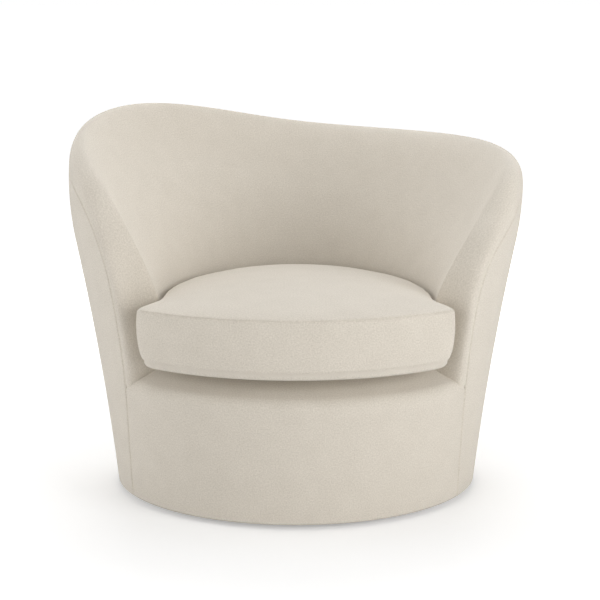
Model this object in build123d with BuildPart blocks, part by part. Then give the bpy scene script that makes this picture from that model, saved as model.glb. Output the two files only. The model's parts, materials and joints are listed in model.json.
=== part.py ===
from build123d import *

import os
from dataclasses import dataclass
from math import asin, atan, cos, pi, radians, sin, sqrt, tan
from typing import Callable

# A barrel swivel chair. +Z is up, the sitter faces -Y, and the origin is where the swivel axis meets the floor.
# Millimetres throughout. Angles round the chair are degrees from the middle of the back, left side negative.

# Outside of the shell: an arc that flares from hem to brow, and one that turns upright at the crest.
hem_height = 10.0
hem_radius = 360.0
waist_height = 330.0
waist_flare = 44.5
brow_height = 490.0
brow_flare = 29.7
crest_height = 605.0
shell_height = 700.0

# Thickness of the shell's wall at three heights, which sets an arc for its inside.
lap_low_height = 290.0
lap_low_wall = 111.7
lap_mid_height = 460.0
lap_mid_wall = 82.7
lap_high_height = 665.0
lap_high_wall = 50.0

# The seam that runs up one arm front, round the rim and down the other, unrolled: angle and height.
seam_points = [
    (-118.4, 0.0),
    (-120.9, 113.0),
    (-124.8, 271.0),
    (-125.5, 400.0),
    (-124.4, 493.0),
    (-118.7, 566.0),
    (-107.0, 613.0),
    (-93.0, 649.0),
    (-76.0, 680.0),
    (-52.0, 698.0),
    (-30.0, 685.0),
    (-5.0, 655.0),
    (20.0, 640.0),
    (50.0, 634.0),
    (72.0, 626.0),
    (90.0, 610.0),
    (104.0, 585.0),
    (113.5, 540.0),
    (120.5, 503.0),
    (124.6, 455.0),
    (125.9, 387.0),
    (124.6, 241.0),
    (119.6, 0.0),
]
seam_stations = 29
foot_stations = 4
arm_share = 0.14
tangent_reach = 0.005
trim_reach = 70.0
trim_height = 230.0
shell_turn = 130.0
front_turn = 112.0

# The soft roll along that seam.
rim_bulge = 42.0
arm_bulge = 22.0
bulge_from_height = 460.0
bulge_to_height = 610.0
roll_least_rise = 2.0
roll_arch_share = 0.93
rim_corner_share = 0.89
arm_corner_share = 0.64
roll_gap = 2.5

# Sheet stock and the slack between layers.
skin = 2.0
liner = 4.0
frame_ply = 22.0
board_ply = 18.0
slack = 0.4

# Frame of the drum and the shell.
bottom_ring_low = 12.0
bottom_ring_width = 45.0
drum_post_count = 9
post_width = 42.0
seat_ring_top = 236.0
seat_ring_bore = 250.0
rail_gap = 7.0
rail_depth = 40.0
rail_ply = 20.0
rail_end_stations = 4
back_post_angles = {
    "left_arm_post": -113.0,
    "left_side_post": -76.0,
    "left_back_post": -38.0,
    "centre_back_post": 0.0,
    "right_back_post": 38.0,
    "right_side_post": 76.0,
    "right_arm_post": 111.0,
}
padding_split_angle = 62.0
padding_gap_angle = 0.05

# Seat deck and the rounded front edge.
webbing_width = 50.0
webbing_thickness = 1.6
webbing_count = 5
webbing_pitch = 82.0
webbing_lap = 14.0
deck_top = 286.0
deck_cover_thickness = 1.5
deck_gap = 2.0
front_liner_top = 226.0
nose_slope = 23.0
nose_start_radius = 290.0
nose_radius = 23.0
nose_gap = 7.0
arm_foot_rise = 4.0

# Swivel: floor ring, cross, thrust bearing and king bolt.
glide_thickness = 4.0
ring_inner_radius = 235.0
ring_outer_radius = 275.0
ring_thickness = 8.0
glide_margin = 3.0
cross_height = 18.0
cross_wall = 3.0
cross_arm_width = 44.0
cross_hub_radius = 110.0
race_thickness = 6.0
lower_race_radius = 105.0
upper_race_radius = 126.0
race_gap = 5.0
ball_radius = 5.0
ball_count = 8
ball_circle_radius = 85.0
ball_clearance = 0.05
cage_thickness = 3.0
cage_width = 20.0
king_radius = 8.0
king_clearance = 0.05
king_head_radius = 13.0
king_head_thickness = 6.0
washer_radius = 17.0
washer_thickness = 2.0
washer_clearance = 0.2
nut_across_flats = 24.0
nut_height = 10.0
king_hole_radius = 30.0
rivet_radius = 3.0
rivet_head_radius = 5.5
rivet_head_height = 2.0
rivet_circle_radius = 55.0
rivet_count = 4
plate_bolt_radius = 4.0
plate_bolt_head_radius = 6.5
plate_bolt_head_height = 4.0
plate_bolt_circle_radius = 115.0
plate_bolt_count = 4
tee_flange_radius = 11.0
tee_flange_thickness = 1.5
tee_barrel_radius = 5.2
tee_barrel_length = 9.0
dust_cover_thickness = 1.0
dust_cover_bore = 132.0

# Loose seat cushion.
cushion_bottom = 288.0
cushion_low_seam = 304.0
cushion_high_seam = 401.0
cushion_crown = 432.0
cushion_crown_middle = -70.0
cushion_wall_gap = 7.0
cushion_front_low_radius = 410.0
cushion_front_high_radius = 427.0
cushion_half_width_low = 272.0
cushion_half_width_high = 283.0
cushion_side_angle = 49.0
cushion_corner_radius = 24.0
cushion_shoulder_radius = 40.0
cushion_draw_in = 3.0
cushion_under_inset = 12.0
crown_rings = [0.9, 0.72, 0.5, 0.28, 0.1]
crown_power = 2.2

# Zip across the back of the cushion.
zip_tape_width = 24.0
zip_tape_thickness = 1.0
zip_half_angle = 58.0
zip_gap = 0.6
slider_length = 14.0
slider_height = 9.0
slider_thickness = 2.6
slider_end_angle = 54.0

# Heights that follow from the sizes above.
ring_bottom = glide_thickness
cross_bottom = ring_bottom + ring_thickness
lower_race_bottom = cross_bottom + cross_height
lower_race_top = lower_race_bottom + race_thickness
upper_race_bottom = lower_race_top + race_gap
upper_race_top = upper_race_bottom + race_thickness
ball_height = (lower_race_top + upper_race_bottom) / 2
base_board_bottom = upper_race_top
base_board_top = base_board_bottom + board_ply
seat_ring_bottom = seat_ring_top - board_ply
webbing_top = seat_ring_top + 2 * webbing_thickness
padding_bottom = webbing_top + slack
arm_foot_height = padding_bottom + arm_foot_rise
deck_cover_top = deck_top + deck_cover_thickness
shell_top = shell_height + slack
waist_radius = hem_radius + waist_flare
brow_radius = waist_radius + brow_flare

# Depths of the layers under the outside.
liner_depth = skin + slack
frame_depth = liner_depth + liner + slack
padding_depth = frame_depth + frame_ply + slack


def circle_through(a, b, c):
    """Centre, radius and side of the circle through three points: 1 where the profile is hollow, else -1."""
    (ax, ay), (bx, by), (cx, cy) = a, b, c
    cross = 2 * (ax * (by - cy) + bx * (cy - ay) + cx * (ay - by))
    aa, bb, cc = ax * ax + ay * ay, bx * bx + by * by, cx * cx + cy * cy
    x = (aa * (by - cy) + bb * (cy - ay) + cc * (ay - by)) / cross
    y = (aa * (cx - bx) + bb * (ax - cx) + cc * (bx - ax)) / cross
    return Vector(x, y), sqrt((ax - x) ** 2 + (ay - y) ** 2), 1 if x > bx else -1


outside_centre, outside_bend, outside_side = circle_through(
    (hem_radius, hem_height), (waist_radius, waist_height), (brow_radius, brow_height)
)
brow_lean = asin(outside_side * (brow_height - outside_centre.Y) / outside_bend)
crest_bend = (crest_height - brow_height) / sin(brow_lean)
crest_centre = brow_radius - crest_bend * cos(brow_lean)


def outside_joint(depth):
    """Height at which the two arcs of the outside meet, in a layer that lies some depth under it."""
    return brow_height + depth * sin(brow_lean)


def outside_radius(height, depth=0.0):
    """Radius of the outside at a height, or of a layer that lies some depth under it."""
    if height < outside_joint(depth):
        bend = outside_bend + outside_side * depth
        return outside_centre.X - outside_side * sqrt(bend**2 - (height - outside_centre.Y) ** 2)
    return crest_centre + sqrt((crest_bend - depth) ** 2 - (height - crest_height) ** 2)


lap_walls = {lap_low_height: lap_low_wall, lap_mid_height: lap_mid_wall, lap_high_height: lap_high_wall}
inside_centre, inside_bend, inside_side = circle_through(
    *[(outside_radius(height) - wall, height) for height, wall in lap_walls.items()]
)


def inside_radius(height, depth=0.0):
    """Radius of the inside of the shell at a height, or of a layer that lies some depth behind it."""
    bend = inside_bend - inside_side * depth
    return inside_centre.X - inside_side * sqrt(bend**2 - (height - inside_centre.Y) ** 2)


@dataclass
class Layer:
    """Upright line of a layer of the wall: its radius over height, in two arcs that meet at a joint."""

    radius_at: Callable
    joint: float

    def point(self, height):
        """The line's point at a height."""
        return self.radius_at(height), height

    def draw(self, low, high):
        """Draw the line between two heights into the open builder."""
        stops = [low, high]
        if low < self.joint < high:
            stops.insert(1, self.joint)
        for start, end in zip(stops, stops[1:]):
            ThreePointArc(self.point(start), self.point((start + end) / 2), self.point(end))


def outside_line(depth):
    """Line at a depth under the outside."""
    return Layer(lambda h: outside_radius(h, depth), outside_joint(depth))


def inside_line(depth):
    """Line at a depth behind the inside."""
    return Layer(lambda h: inside_radius(h, depth), 0)


def meridian(angle):
    """Upright plane through the swivel axis at an angle round the chair: x is outwards and y is up."""
    turn = radians(angle)
    return Plane(origin=(0, 0, 0), x_dir=(sin(turn), cos(turn), 0), z_dir=(cos(turn), -sin(turn), 0))


def layer_face(angle, inner, outer, low, high):
    """Upright cross-section between two lines of the wall."""
    with BuildSketch(meridian(angle)) as section:
        with BuildLine():
            outer.draw(low, high)
            Line(outer.point(high), inner.point(high))
            inner.draw(low, high)
            Line(inner.point(low), outer.point(low))
        make_face()
    return section.sketch


def outside_layer(angle, depth, thickness, low, high):
    """Upright cross-section of a layer at a depth under the outside."""
    return layer_face(angle, outside_line(depth + thickness), outside_line(depth), low, high)


def board_face(bore, low, high):
    """Upright half-section of a ring or board of the frame: straight bore, edge leaning with the flare."""
    edge = outside_line(frame_depth)
    with BuildSketch(meridian(0)) as section:
        with BuildLine():
            edge.draw(low, high)
            Polyline(edge.point(high), (bore, high), (bore, low), edge.point(low))
        make_face()
    return section.sketch


# The seam line, drawn flat with the girth of the waist as its unit of length.
girth_per_degree = radians(1) * waist_radius
with BuildLine() as unrolled:
    seam = Spline(*[(angle * girth_per_degree, height) for angle, height in seam_points])


@dataclass
class Station:
    """One place along the seam.

    The plane's x is outwards, its y leaves the wall's edge, up on the rim and forwards on an arm front.
    """

    plane: Plane
    height: float
    bulge: float
    corner_share: float

    @property
    def thickness(self):
        """Thickness of the wall between its outside and its inside."""
        return outside_radius(self.height) - inside_radius(self.height)

    def across(self, radius_at, rise):
        """Distance from the seam, outwards, to the layer with this radius at a rise above the wall's edge."""
        sideways = rise * sqrt(1 - self.plane.y_dir.Z ** 2)
        radius = radius_at(self.height + rise * self.plane.y_dir.Z)
        return sqrt(radius**2 - sideways**2) - outside_radius(self.height)

    def outside(self, depth, rise):
        """Point at a depth under the outside and a rise above the wall's edge."""
        return self.across(lambda h: outside_radius(h, depth), rise), rise

    def inside(self, depth, rise):
        """Point at a depth behind the inside and a rise above the wall's edge."""
        return self.across(lambda h: inside_radius(h, depth), rise), rise


def seam_place(share):
    """Point on the outside, and outward direction, at a share of the seam's length."""
    flat = seam @ share
    turn = radians(flat.X / girth_per_degree)
    outward = Vector(sin(turn), cos(turn), 0)
    return outward * outside_radius(flat.Y) + Vector(0, 0, flat.Y), outward


def seam_station(share):
    """Plane across the seam, with the roll's bulge there."""
    here, outward = seam_place(share)
    run = seam_place(min(share + tangent_reach, 1))[0] - seam_place(max(share - tangent_reach, 0))[0]
    run -= outward * run.dot(outward)
    rise = (here.Z - bulge_from_height) / (bulge_to_height - bulge_from_height)
    rise = min(max(rise, 0), 1)
    blend = rise * rise * (3 - 2 * rise)
    return Station(
        plane=Plane(origin=here, x_dir=outward, z_dir=run),
        height=here.Z,
        bulge=arm_bulge + (rim_bulge - arm_bulge) * blend,
        corner_share=arm_corner_share + (rim_corner_share - arm_corner_share) * blend,
    )


def seam_stations_between(first, last, count):
    """Evenly spaced stations between two shares of the seam's length."""
    return [seam_station(first + (last - first) * i / (count - 1)) for i in range(count)]


def share_at_height(height, floor_share, upper_share):
    """Share of the seam's length at which an arm front reaches a height, found by halving."""
    for _ in range(40):
        middle = (floor_share + upper_share) / 2
        if (seam @ middle).Y < height:
            floor_share = middle
        else:
            upper_share = middle
    return middle


def slab(places, reach, low, high):
    """Solid along the seam, across the wall and reach past it on both sides, between two rises."""
    faces = []
    for place in places:
        with BuildSketch(place.plane) as section:
            with Locations((-place.thickness / 2, (low + high) / 2)):
                Rectangle(place.thickness + 2 * reach, high - low)
        faces.append(section.sketch)
    with BuildPart() as solid:
        loft(faces)
    return solid.part


def rail_face(place):
    """Section of the ply rail under the roll, leaning with the flare of the outside."""
    high, low = -rail_gap, -rail_gap - rail_depth
    depth = frame_depth + (frame_ply - rail_ply) / 2
    with BuildSketch(place.plane) as section:
        with BuildLine():
            Polyline(
                place.outside(depth, low),
                place.outside(depth, high),
                place.outside(depth + rail_ply, high),
                place.outside(depth + rail_ply, low),
                close=True,
            )
        make_face()
    return section.sketch


def roll_face(place):
    """Section of the roll: flat on the wall's edge, then two sides and three tangent arcs."""
    width = place.thickness
    arch = min(place.bulge - roll_least_rise, roll_arch_share * width / 2)
    rise = place.bulge - arch
    corner = place.corner_share * arch
    turn = pi / 2 - 2 * atan((arch - corner) / (width / 2 - corner))
    bend = corner * cos(turn / 2) - corner, rise + corner * sin(turn / 2)
    knee = corner * cos(turn) - corner, rise + corner * sin(turn)
    outer = [(0, rise), bend, knee]
    inner = [(-width - x, y) for x, y in reversed(outer)]
    with BuildSketch(place.plane) as section:
        with BuildLine():
            Line((0, 0), outer[0])
            ThreePointArc(*outer)
            ThreePointArc(knee, (-width / 2, place.bulge), inner[0])
            ThreePointArc(*inner)
            Polyline(inner[2], (-width, 0), (0, 0))
        make_face()
    return section.sketch


def write(piece, name):
    """Label a finished piece and write it."""
    piece.part.label = name
    export_step(piece.part, f"parts/{name}.step")


os.makedirs("parts", exist_ok=True)

# Stations along the roll, along each seam from the floor, and beside the rounded front edge.
left_foot_share = share_at_height(arm_foot_height, 0, arm_share)
right_foot_share = share_at_height(arm_foot_height, 1, 1 - arm_share)
roll_stations = seam_stations_between(left_foot_share, right_foot_share, seam_stations)
foot_seams = [
    seam_stations_between(0, arm_share, foot_stations),
    seam_stations_between(1 - arm_share, 1, foot_stations),
]
left_nose_share = share_at_height(padding_bottom - slack, 0, arm_share)
right_nose_share = share_at_height(padding_bottom - slack, 1, 1 - arm_share)
nose_seams = [
    seam_stations_between(left_nose_share, arm_share, foot_stations),
    seam_stations_between(1 - arm_share, right_nose_share, foot_stations),
]

# Slabs that trim the layers along the seam: the wall under the roll, and the posts under the rail.
wall_trims = [slab(roll_stations, trim_reach, -roll_gap, trim_height)]
wall_trims += [slab(foot, trim_reach + skin, -roll_gap, trim_height) for foot in foot_seams]
post_trim = slab(roll_stations, trim_reach, -rail_gap - rail_depth - roll_gap, trim_height)
front_trims = [slab(foot, trim_reach, -trim_height, slack) for foot in foot_seams]
nose_trims = [slab(side, trim_reach - skin, -nose_gap, arm_bulge + nose_gap) for side in nose_seams]

# Floor ring and cross
with BuildPart() as glide_ring:
    with BuildSketch():
        Circle(ring_outer_radius - glide_margin)
        Circle(ring_inner_radius + glide_margin, mode=Mode.SUBTRACT)
    extrude(amount=glide_thickness)
write(glide_ring, "glide_ring")

with BuildPart() as base_ring:
    with BuildSketch(Plane.XY.offset(ring_bottom)):
        Circle(ring_outer_radius)
        Circle(ring_inner_radius, mode=Mode.SUBTRACT)
    extrude(amount=ring_thickness)
    chamfer(base_ring.edges().group_by(Axis.Z)[-1], ring_thickness / 4)
write(base_ring, "base_ring")

with BuildPart() as base_cross:
    with BuildSketch(Plane.XY.offset(cross_bottom)) as cross_outline:
        Circle(cross_hub_radius)
        Rectangle(2 * ring_outer_radius, cross_arm_width)
        Rectangle(cross_arm_width, 2 * ring_outer_radius)
    extrude(amount=cross_height)
    with BuildSketch(Plane.XY.offset(cross_bottom)):
        add(cross_outline.sketch)
        offset(amount=-cross_wall, mode=Mode.REPLACE)
    extrude(amount=cross_height - cross_wall, mode=Mode.SUBTRACT)
    with BuildSketch(Plane.XY.offset(lower_race_bottom)):
        Circle(king_radius + king_clearance)
        with PolarLocations(rivet_circle_radius, rivet_count, start_angle=45):
            Circle(rivet_radius)
    extrude(amount=-cross_wall, mode=Mode.SUBTRACT)
write(base_cross, "base_cross")

# Thrust bearing: two pressed races with vee grooves, and balls in a flat cage between them
groove_half = sqrt(2) * (ball_radius + ball_clearance) - race_gap / 2


def groove_face(race_face, direction):
    """Vee groove of a race, opened towards the balls."""
    with BuildSketch(meridian(0)) as section:
        with BuildLine():
            Polyline(
                (ball_circle_radius - groove_half, race_face),
                (ball_circle_radius + groove_half, race_face),
                (ball_circle_radius, race_face + direction * groove_half),
                close=True,
            )
        make_face()
    return section.sketch


with BuildPart() as lower_race:
    with BuildSketch(Plane.XY.offset(lower_race_bottom)):
        Circle(lower_race_radius)
        Circle(king_radius + king_clearance, mode=Mode.SUBTRACT)
        with PolarLocations(rivet_circle_radius, rivet_count, start_angle=45):
            Circle(rivet_radius, mode=Mode.SUBTRACT)
    extrude(amount=race_thickness)
    revolve(groove_face(lower_race_top, -1), axis=Axis.Z, mode=Mode.SUBTRACT)
write(lower_race, "lower_race")

with BuildPart() as race_rivets:
    with BuildSketch(Plane.XY.offset(lower_race_bottom - cross_wall - rivet_head_height)):
        with PolarLocations(rivet_circle_radius, rivet_count, start_angle=45):
            Circle(rivet_head_radius)
    extrude(amount=rivet_head_height)
    with BuildSketch(Plane.XY.offset(lower_race_bottom - cross_wall)):
        with PolarLocations(rivet_circle_radius, rivet_count, start_angle=45):
            Circle(rivet_radius)
    extrude(amount=cross_wall + race_thickness)
    with BuildSketch(Plane.XY.offset(lower_race_top)):
        with PolarLocations(rivet_circle_radius, rivet_count, start_angle=45):
            Circle(rivet_head_radius)
    extrude(amount=rivet_head_height)
write(race_rivets, "race_rivets")

with BuildPart() as ball_cage:
    with BuildSketch(Plane.XY.offset(ball_height - cage_thickness / 2)):
        Circle(ball_circle_radius + cage_width / 2)
        Circle(ball_circle_radius - cage_width / 2, mode=Mode.SUBTRACT)
        with PolarLocations(ball_circle_radius, ball_count):
            Circle(ball_radius + 2 * ball_clearance, mode=Mode.SUBTRACT)
    extrude(amount=cage_thickness)
write(ball_cage, "ball_cage")

with BuildPart() as bearing_balls:
    with Locations((0, 0, ball_height)):
        with PolarLocations(ball_circle_radius, ball_count):
            Sphere(ball_radius)
write(bearing_balls, "bearing_balls")

with BuildPart() as upper_race:
    with BuildSketch(Plane.XY.offset(upper_race_bottom)):
        Circle(upper_race_radius)
        Circle(king_radius + king_clearance, mode=Mode.SUBTRACT)
        with PolarLocations(plate_bolt_circle_radius, plate_bolt_count, start_angle=45):
            Circle(plate_bolt_radius, mode=Mode.SUBTRACT)
    extrude(amount=race_thickness)
    revolve(groove_face(upper_race_bottom, 1), axis=Axis.Z, mode=Mode.SUBTRACT)
write(upper_race, "upper_race")

# King bolt with its washer and nut
king_head_bottom = lower_race_bottom - cross_wall - king_head_thickness
washer_bottom = upper_race_top + washer_clearance
with BuildPart() as king_bolt:
    with BuildSketch(Plane.XY.offset(king_head_bottom)):
        RegularPolygon(king_head_radius, 6)
    extrude(amount=king_head_thickness)
    with BuildSketch(Plane.XY.offset(king_head_bottom + king_head_thickness)):
        Circle(king_radius)
    extrude(amount=washer_bottom + washer_thickness + nut_height - king_head_bottom - king_head_thickness)
write(king_bolt, "king_bolt")

with BuildPart() as king_washer:
    with BuildSketch(Plane.XY.offset(washer_bottom)):
        Circle(washer_radius)
        Circle(king_radius, mode=Mode.SUBTRACT)
    extrude(amount=washer_thickness)
write(king_washer, "king_washer")

with BuildPart() as king_nut:
    with BuildSketch(Plane.XY.offset(washer_bottom + washer_thickness)):
        RegularPolygon(nut_across_flats / 2, 6, major_radius=False)
        Circle(king_radius, mode=Mode.SUBTRACT)
    extrude(amount=nut_height)
write(king_nut, "king_nut")

# Drum: board, hoop, dust cover and the bolts that carry it on the bearing
with BuildPart() as base_board:
    revolve(board_face(king_hole_radius, base_board_bottom, base_board_top), axis=Axis.Z)
    with BuildSketch(Plane.XY.offset(base_board_bottom)):
        with PolarLocations(plate_bolt_circle_radius, plate_bolt_count, start_angle=45):
            Circle(tee_barrel_radius)
    extrude(amount=board_ply, mode=Mode.SUBTRACT)
write(base_board, "base_board")

with BuildPart() as plate_bolts:
    with BuildSketch(Plane.XY.offset(upper_race_bottom - plate_bolt_head_height)):
        with PolarLocations(plate_bolt_circle_radius, plate_bolt_count, start_angle=45):
            Circle(plate_bolt_head_radius)
    extrude(amount=plate_bolt_head_height)
    with BuildSketch(Plane.XY.offset(upper_race_bottom)):
        with PolarLocations(plate_bolt_circle_radius, plate_bolt_count, start_angle=45):
            Circle(plate_bolt_radius)
    extrude(amount=race_thickness + board_ply)
write(plate_bolts, "plate_bolts")

with BuildPart() as tee_nuts:
    with BuildSketch(Plane.XY.offset(base_board_top)):
        with PolarLocations(plate_bolt_circle_radius, plate_bolt_count, start_angle=45):
            Circle(tee_flange_radius)
            Circle(plate_bolt_radius, mode=Mode.SUBTRACT)
    extrude(amount=tee_flange_thickness)
    with BuildSketch(Plane.XY.offset(base_board_top)):
        with PolarLocations(plate_bolt_circle_radius, plate_bolt_count, start_angle=45):
            Circle(tee_barrel_radius)
            Circle(plate_bolt_radius, mode=Mode.SUBTRACT)
    extrude(amount=-tee_barrel_length)
write(tee_nuts, "tee_nuts")

bottom_ring_bore = outside_radius(bottom_ring_low, frame_depth) - bottom_ring_width
with BuildPart() as bottom_ring:
    revolve(board_face(bottom_ring_bore, bottom_ring_low, base_board_bottom), axis=Axis.Z)
write(bottom_ring, "bottom_ring")

with BuildPart() as dust_cover:
    with BuildSketch(Plane.XY.offset(base_board_bottom)):
        Circle(bottom_ring_bore - slack)
        Circle(dust_cover_bore, mode=Mode.SUBTRACT)
    extrude(amount=-dust_cover_thickness)
write(dust_cover, "dust_cover")

# Drum posts between the board and the seat ring
drum_post_turn = post_width / outside_radius(base_board_top) / radians(1)
with BuildPart() as drum_posts:
    for i in range(drum_post_count):
        post_angle = 360 * i / drum_post_count
        revolve(
            outside_layer(
                post_angle + drum_post_turn / 2, frame_depth, frame_ply, base_board_top, seat_ring_bottom
            ),
            axis=Axis.Z,
            revolution_arc=drum_post_turn,
        )
write(drum_posts, "drum_posts")

with BuildPart() as seat_ring:
    revolve(board_face(seat_ring_bore, seat_ring_bottom, seat_ring_top), axis=Axis.Z)
write(seat_ring, "seat_ring")

# Seat deck: two layers of webbing straps, a foam pad and its cover
with BuildPart() as seat_webbing:
    for layer, turn in enumerate((0, 90)):
        for i in range(webbing_count):
            across = (i - (webbing_count - 1) / 2) * webbing_pitch
            strap_length = 2 * (sqrt(seat_ring_bore**2 - across**2) + webbing_lap)
            strap_plane = Plane.XY.offset(seat_ring_top + layer * webbing_thickness).rotated((0, 0, turn))
            with BuildSketch(strap_plane):
                with Locations((0, across)):
                    Rectangle(strap_length, webbing_width)
            extrude(amount=webbing_thickness, mode=Mode.ADD)
write(seat_webbing, "seat_webbing")

with BuildPart() as deck_pad:
    deck_edge = inside_line(-deck_gap)
    with BuildSketch(meridian(0)):
        with BuildLine():
            deck_edge.draw(padding_bottom, deck_top)
            Polyline(deck_edge.point(deck_top), (0, deck_top), (0, padding_bottom), deck_edge.point(padding_bottom))
        make_face()
    revolve(axis=Axis.Z)
write(deck_pad, "deck_pad")

with BuildPart() as deck_cover:
    with BuildSketch(Plane.XY.offset(deck_top)):
        Circle(inside_radius(deck_top) - deck_gap)
    extrude(amount=deck_cover_thickness)
write(deck_cover, "deck_cover")

# Front of the drum, rounded over below the cushion


def nose_face(angle, depth, low):
    """Upright section of the front under its cover: flare, rounded edge and slope up to the deck."""
    drop = depth / cos(radians(nose_slope))
    corner = deck_cover_top
    for _ in range(30):
        reach = outside_radius(corner, depth) - nose_start_radius
        corner = deck_cover_top - drop - reach * tan(radians(nose_slope))
    wall = outside_line(depth)
    top = (nose_start_radius, deck_cover_top - drop)
    with BuildSketch(meridian(angle)) as section:
        with BuildLine():
            wall.draw(low, corner)
            Polyline(wall.point(corner), top, (nose_start_radius, low), wall.point(low))
        make_face()
        fillet(section.vertices().sort_by_distance(wall.point(corner))[0], nose_radius - depth)
    return section.sketch


front_arc = 360 - 2 * front_turn
with BuildPart() as front_cover:
    revolve(nose_face(-front_turn, 0, hem_height), axis=Axis.Z, revolution_arc=front_arc)
    revolve(
        nose_face(-front_turn, skin, hem_height), axis=Axis.Z, revolution_arc=front_arc, mode=Mode.SUBTRACT
    )
    for trim in front_trims + nose_trims:
        add(trim, mode=Mode.SUBTRACT)
write(front_cover, "front_cover")

with BuildPart() as front_liner:
    revolve(
        outside_layer(-front_turn, liner_depth, liner, hem_height, front_liner_top),
        axis=Axis.Z,
        revolution_arc=front_arc,
    )
    for trim in front_trims:
        add(trim, mode=Mode.SUBTRACT)
write(front_liner, "front_liner")

with BuildPart() as front_padding:
    revolve(nose_face(-front_turn, liner_depth, base_board_top), axis=Axis.Z, revolution_arc=front_arc)
    split(bisect_by=Plane.XY.offset(padding_bottom), keep=Keep.TOP)
    for trim in front_trims + nose_trims:
        add(trim, mode=Mode.SUBTRACT)
write(front_padding, "front_padding")

# Outside of the shell
with BuildPart() as outside_cover:
    revolve(
        outside_layer(shell_turn, 0, skin, hem_height, shell_top), axis=Axis.Z, revolution_arc=2 * shell_turn
    )
    for trim in wall_trims:
        add(trim, mode=Mode.SUBTRACT)
write(outside_cover, "outside_cover")

with BuildPart() as outside_liner:
    revolve(
        outside_layer(shell_turn, liner_depth, liner, hem_height, shell_top),
        axis=Axis.Z,
        revolution_arc=2 * shell_turn,
    )
    for trim in wall_trims:
        add(trim, mode=Mode.SUBTRACT)
write(outside_liner, "outside_liner")

# Frame of the shell: posts on the seat ring, and a bent rail over them
for post_name, post_angle in back_post_angles.items():
    post_turn = post_width / waist_radius / radians(1)
    with BuildPart() as post:
        revolve(
            outside_layer(post_angle + post_turn / 2, frame_depth, frame_ply, seat_ring_top, shell_top),
            axis=Axis.Z,
            revolution_arc=post_turn,
        )
        add(post_trim, mode=Mode.SUBTRACT)
    write(post, post_name)

with BuildPart() as top_rail:
    loft([rail_face(place) for place in roll_stations[rail_end_stations:-rail_end_stations]])
write(top_rail, "top_rail")

# Padding of the inside, in three blocks, under one cover
padding_turns = {
    "left_arm_padding": (-shell_turn, -padding_split_angle),
    "back_padding": (-padding_split_angle, padding_split_angle),
    "right_arm_padding": (padding_split_angle, shell_turn),
}
for padding_name, (first_angle, last_angle) in padding_turns.items():
    with BuildPart() as padding:
        revolve(
            layer_face(
                last_angle - padding_gap_angle,
                inside_line(skin + slack),
                outside_line(padding_depth),
                padding_bottom,
                shell_top,
            ),
            axis=Axis.Z,
            revolution_arc=last_angle - first_angle - 2 * padding_gap_angle,
        )
        for trim in wall_trims:
            add(trim, mode=Mode.SUBTRACT)
    write(padding, padding_name)

with BuildPart() as inside_cover:
    revolve(
        layer_face(shell_turn, inside_line(0), inside_line(skin), deck_cover_top + slack, shell_top),
        axis=Axis.Z,
        revolution_arc=2 * shell_turn,
    )
    for trim in wall_trims:
        add(trim, mode=Mode.SUBTRACT)
write(inside_cover, "inside_cover")

# The padded roll up one arm front, along the rim and down the other arm front
with BuildPart() as rim_roll:
    loft([roll_face(place) for place in roll_stations])
write(rim_roll, "rim_roll")

# Loose cushion: crowned top, boxing drawn in between its seams, and a tucked underside


def cushion_back_radius(share, inset):
    """Radius of the cushion's round back at a share of the way up its boxing."""
    height = cushion_low_seam + share * (cushion_high_seam - cushion_low_seam)
    return inside_radius(height) - cushion_wall_gap - inset - cushion_draw_in * 4 * share * (1 - share)


def cushion_plan(height, share, inset, shrink=1.0):
    """Plan of the cushion, with its edges at a share of the way up the boxing, shrunk towards its middle."""
    pull = inset + cushion_draw_in * 4 * share * (1 - share)
    back = cushion_back_radius(share, inset)
    front = cushion_front_low_radius + share * (cushion_front_high_radius - cushion_front_low_radius) - pull
    half = cushion_half_width_low + share * (cushion_half_width_high - cushion_half_width_low) - pull

    def place(x, y):
        return x * shrink, cushion_crown_middle + (y - cushion_crown_middle) * shrink

    def back_place(angle):
        return place(back * sin(radians(angle)), back * cos(radians(angle)))

    shoulder = 180 - cushion_side_angle
    corner_y = -sqrt(front**2 - half**2)
    with BuildSketch(Plane.XY.offset(height)) as plan:
        with BuildLine():
            ThreePointArc(place(-half, corner_y), place(0, -front), place(half, corner_y))
            Line(place(half, corner_y), back_place(shoulder))
            ThreePointArc(back_place(shoulder), back_place(shoulder / 2), back_place(0))
            ThreePointArc(back_place(0), back_place(-shoulder / 2), back_place(-shoulder))
            Line(back_place(-shoulder), place(-half, corner_y))
        make_face()
        fillet(plan.vertices().group_by(Axis.Y)[1], cushion_shoulder_radius * shrink)
        fillet(plan.vertices().group_by(Axis.Y)[0], cushion_corner_radius * shrink)
    return plan.sketch


def cushion_body(inset):
    """The cushion's form, or the form that lies some inset under its cloth."""
    crown = cushion_crown - inset - cushion_high_seam
    with BuildPart() as body:
        loft([
            cushion_plan(cushion_low_seam, 0, inset),
            cushion_plan((cushion_low_seam + cushion_high_seam) / 2, 0.5, inset),
            cushion_plan(cushion_high_seam, 1, inset),
        ])
        loft(
            [cushion_plan(cushion_high_seam, 1, inset)]
            + [
                cushion_plan(cushion_high_seam + crown * (1 - ring**crown_power), 1, inset, ring)
                for ring in crown_rings
            ]
        )
        loft([
            cushion_plan(cushion_low_seam, 0, inset),
            cushion_plan(cushion_bottom + inset, 0, inset + cushion_under_inset),
        ])
    return body.part


with BuildPart() as cushion_core:
    add(cushion_body(skin + slack))
write(cushion_core, "cushion_core")

with BuildPart() as cushion_cover:
    add(cushion_body(0))
    add(cushion_body(skin), mode=Mode.SUBTRACT)
write(cushion_cover, "cushion_cover")

# Zip across the back of the boxing, with its slider at one end
zip_height = (cushion_low_seam + cushion_high_seam) / 2


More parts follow.
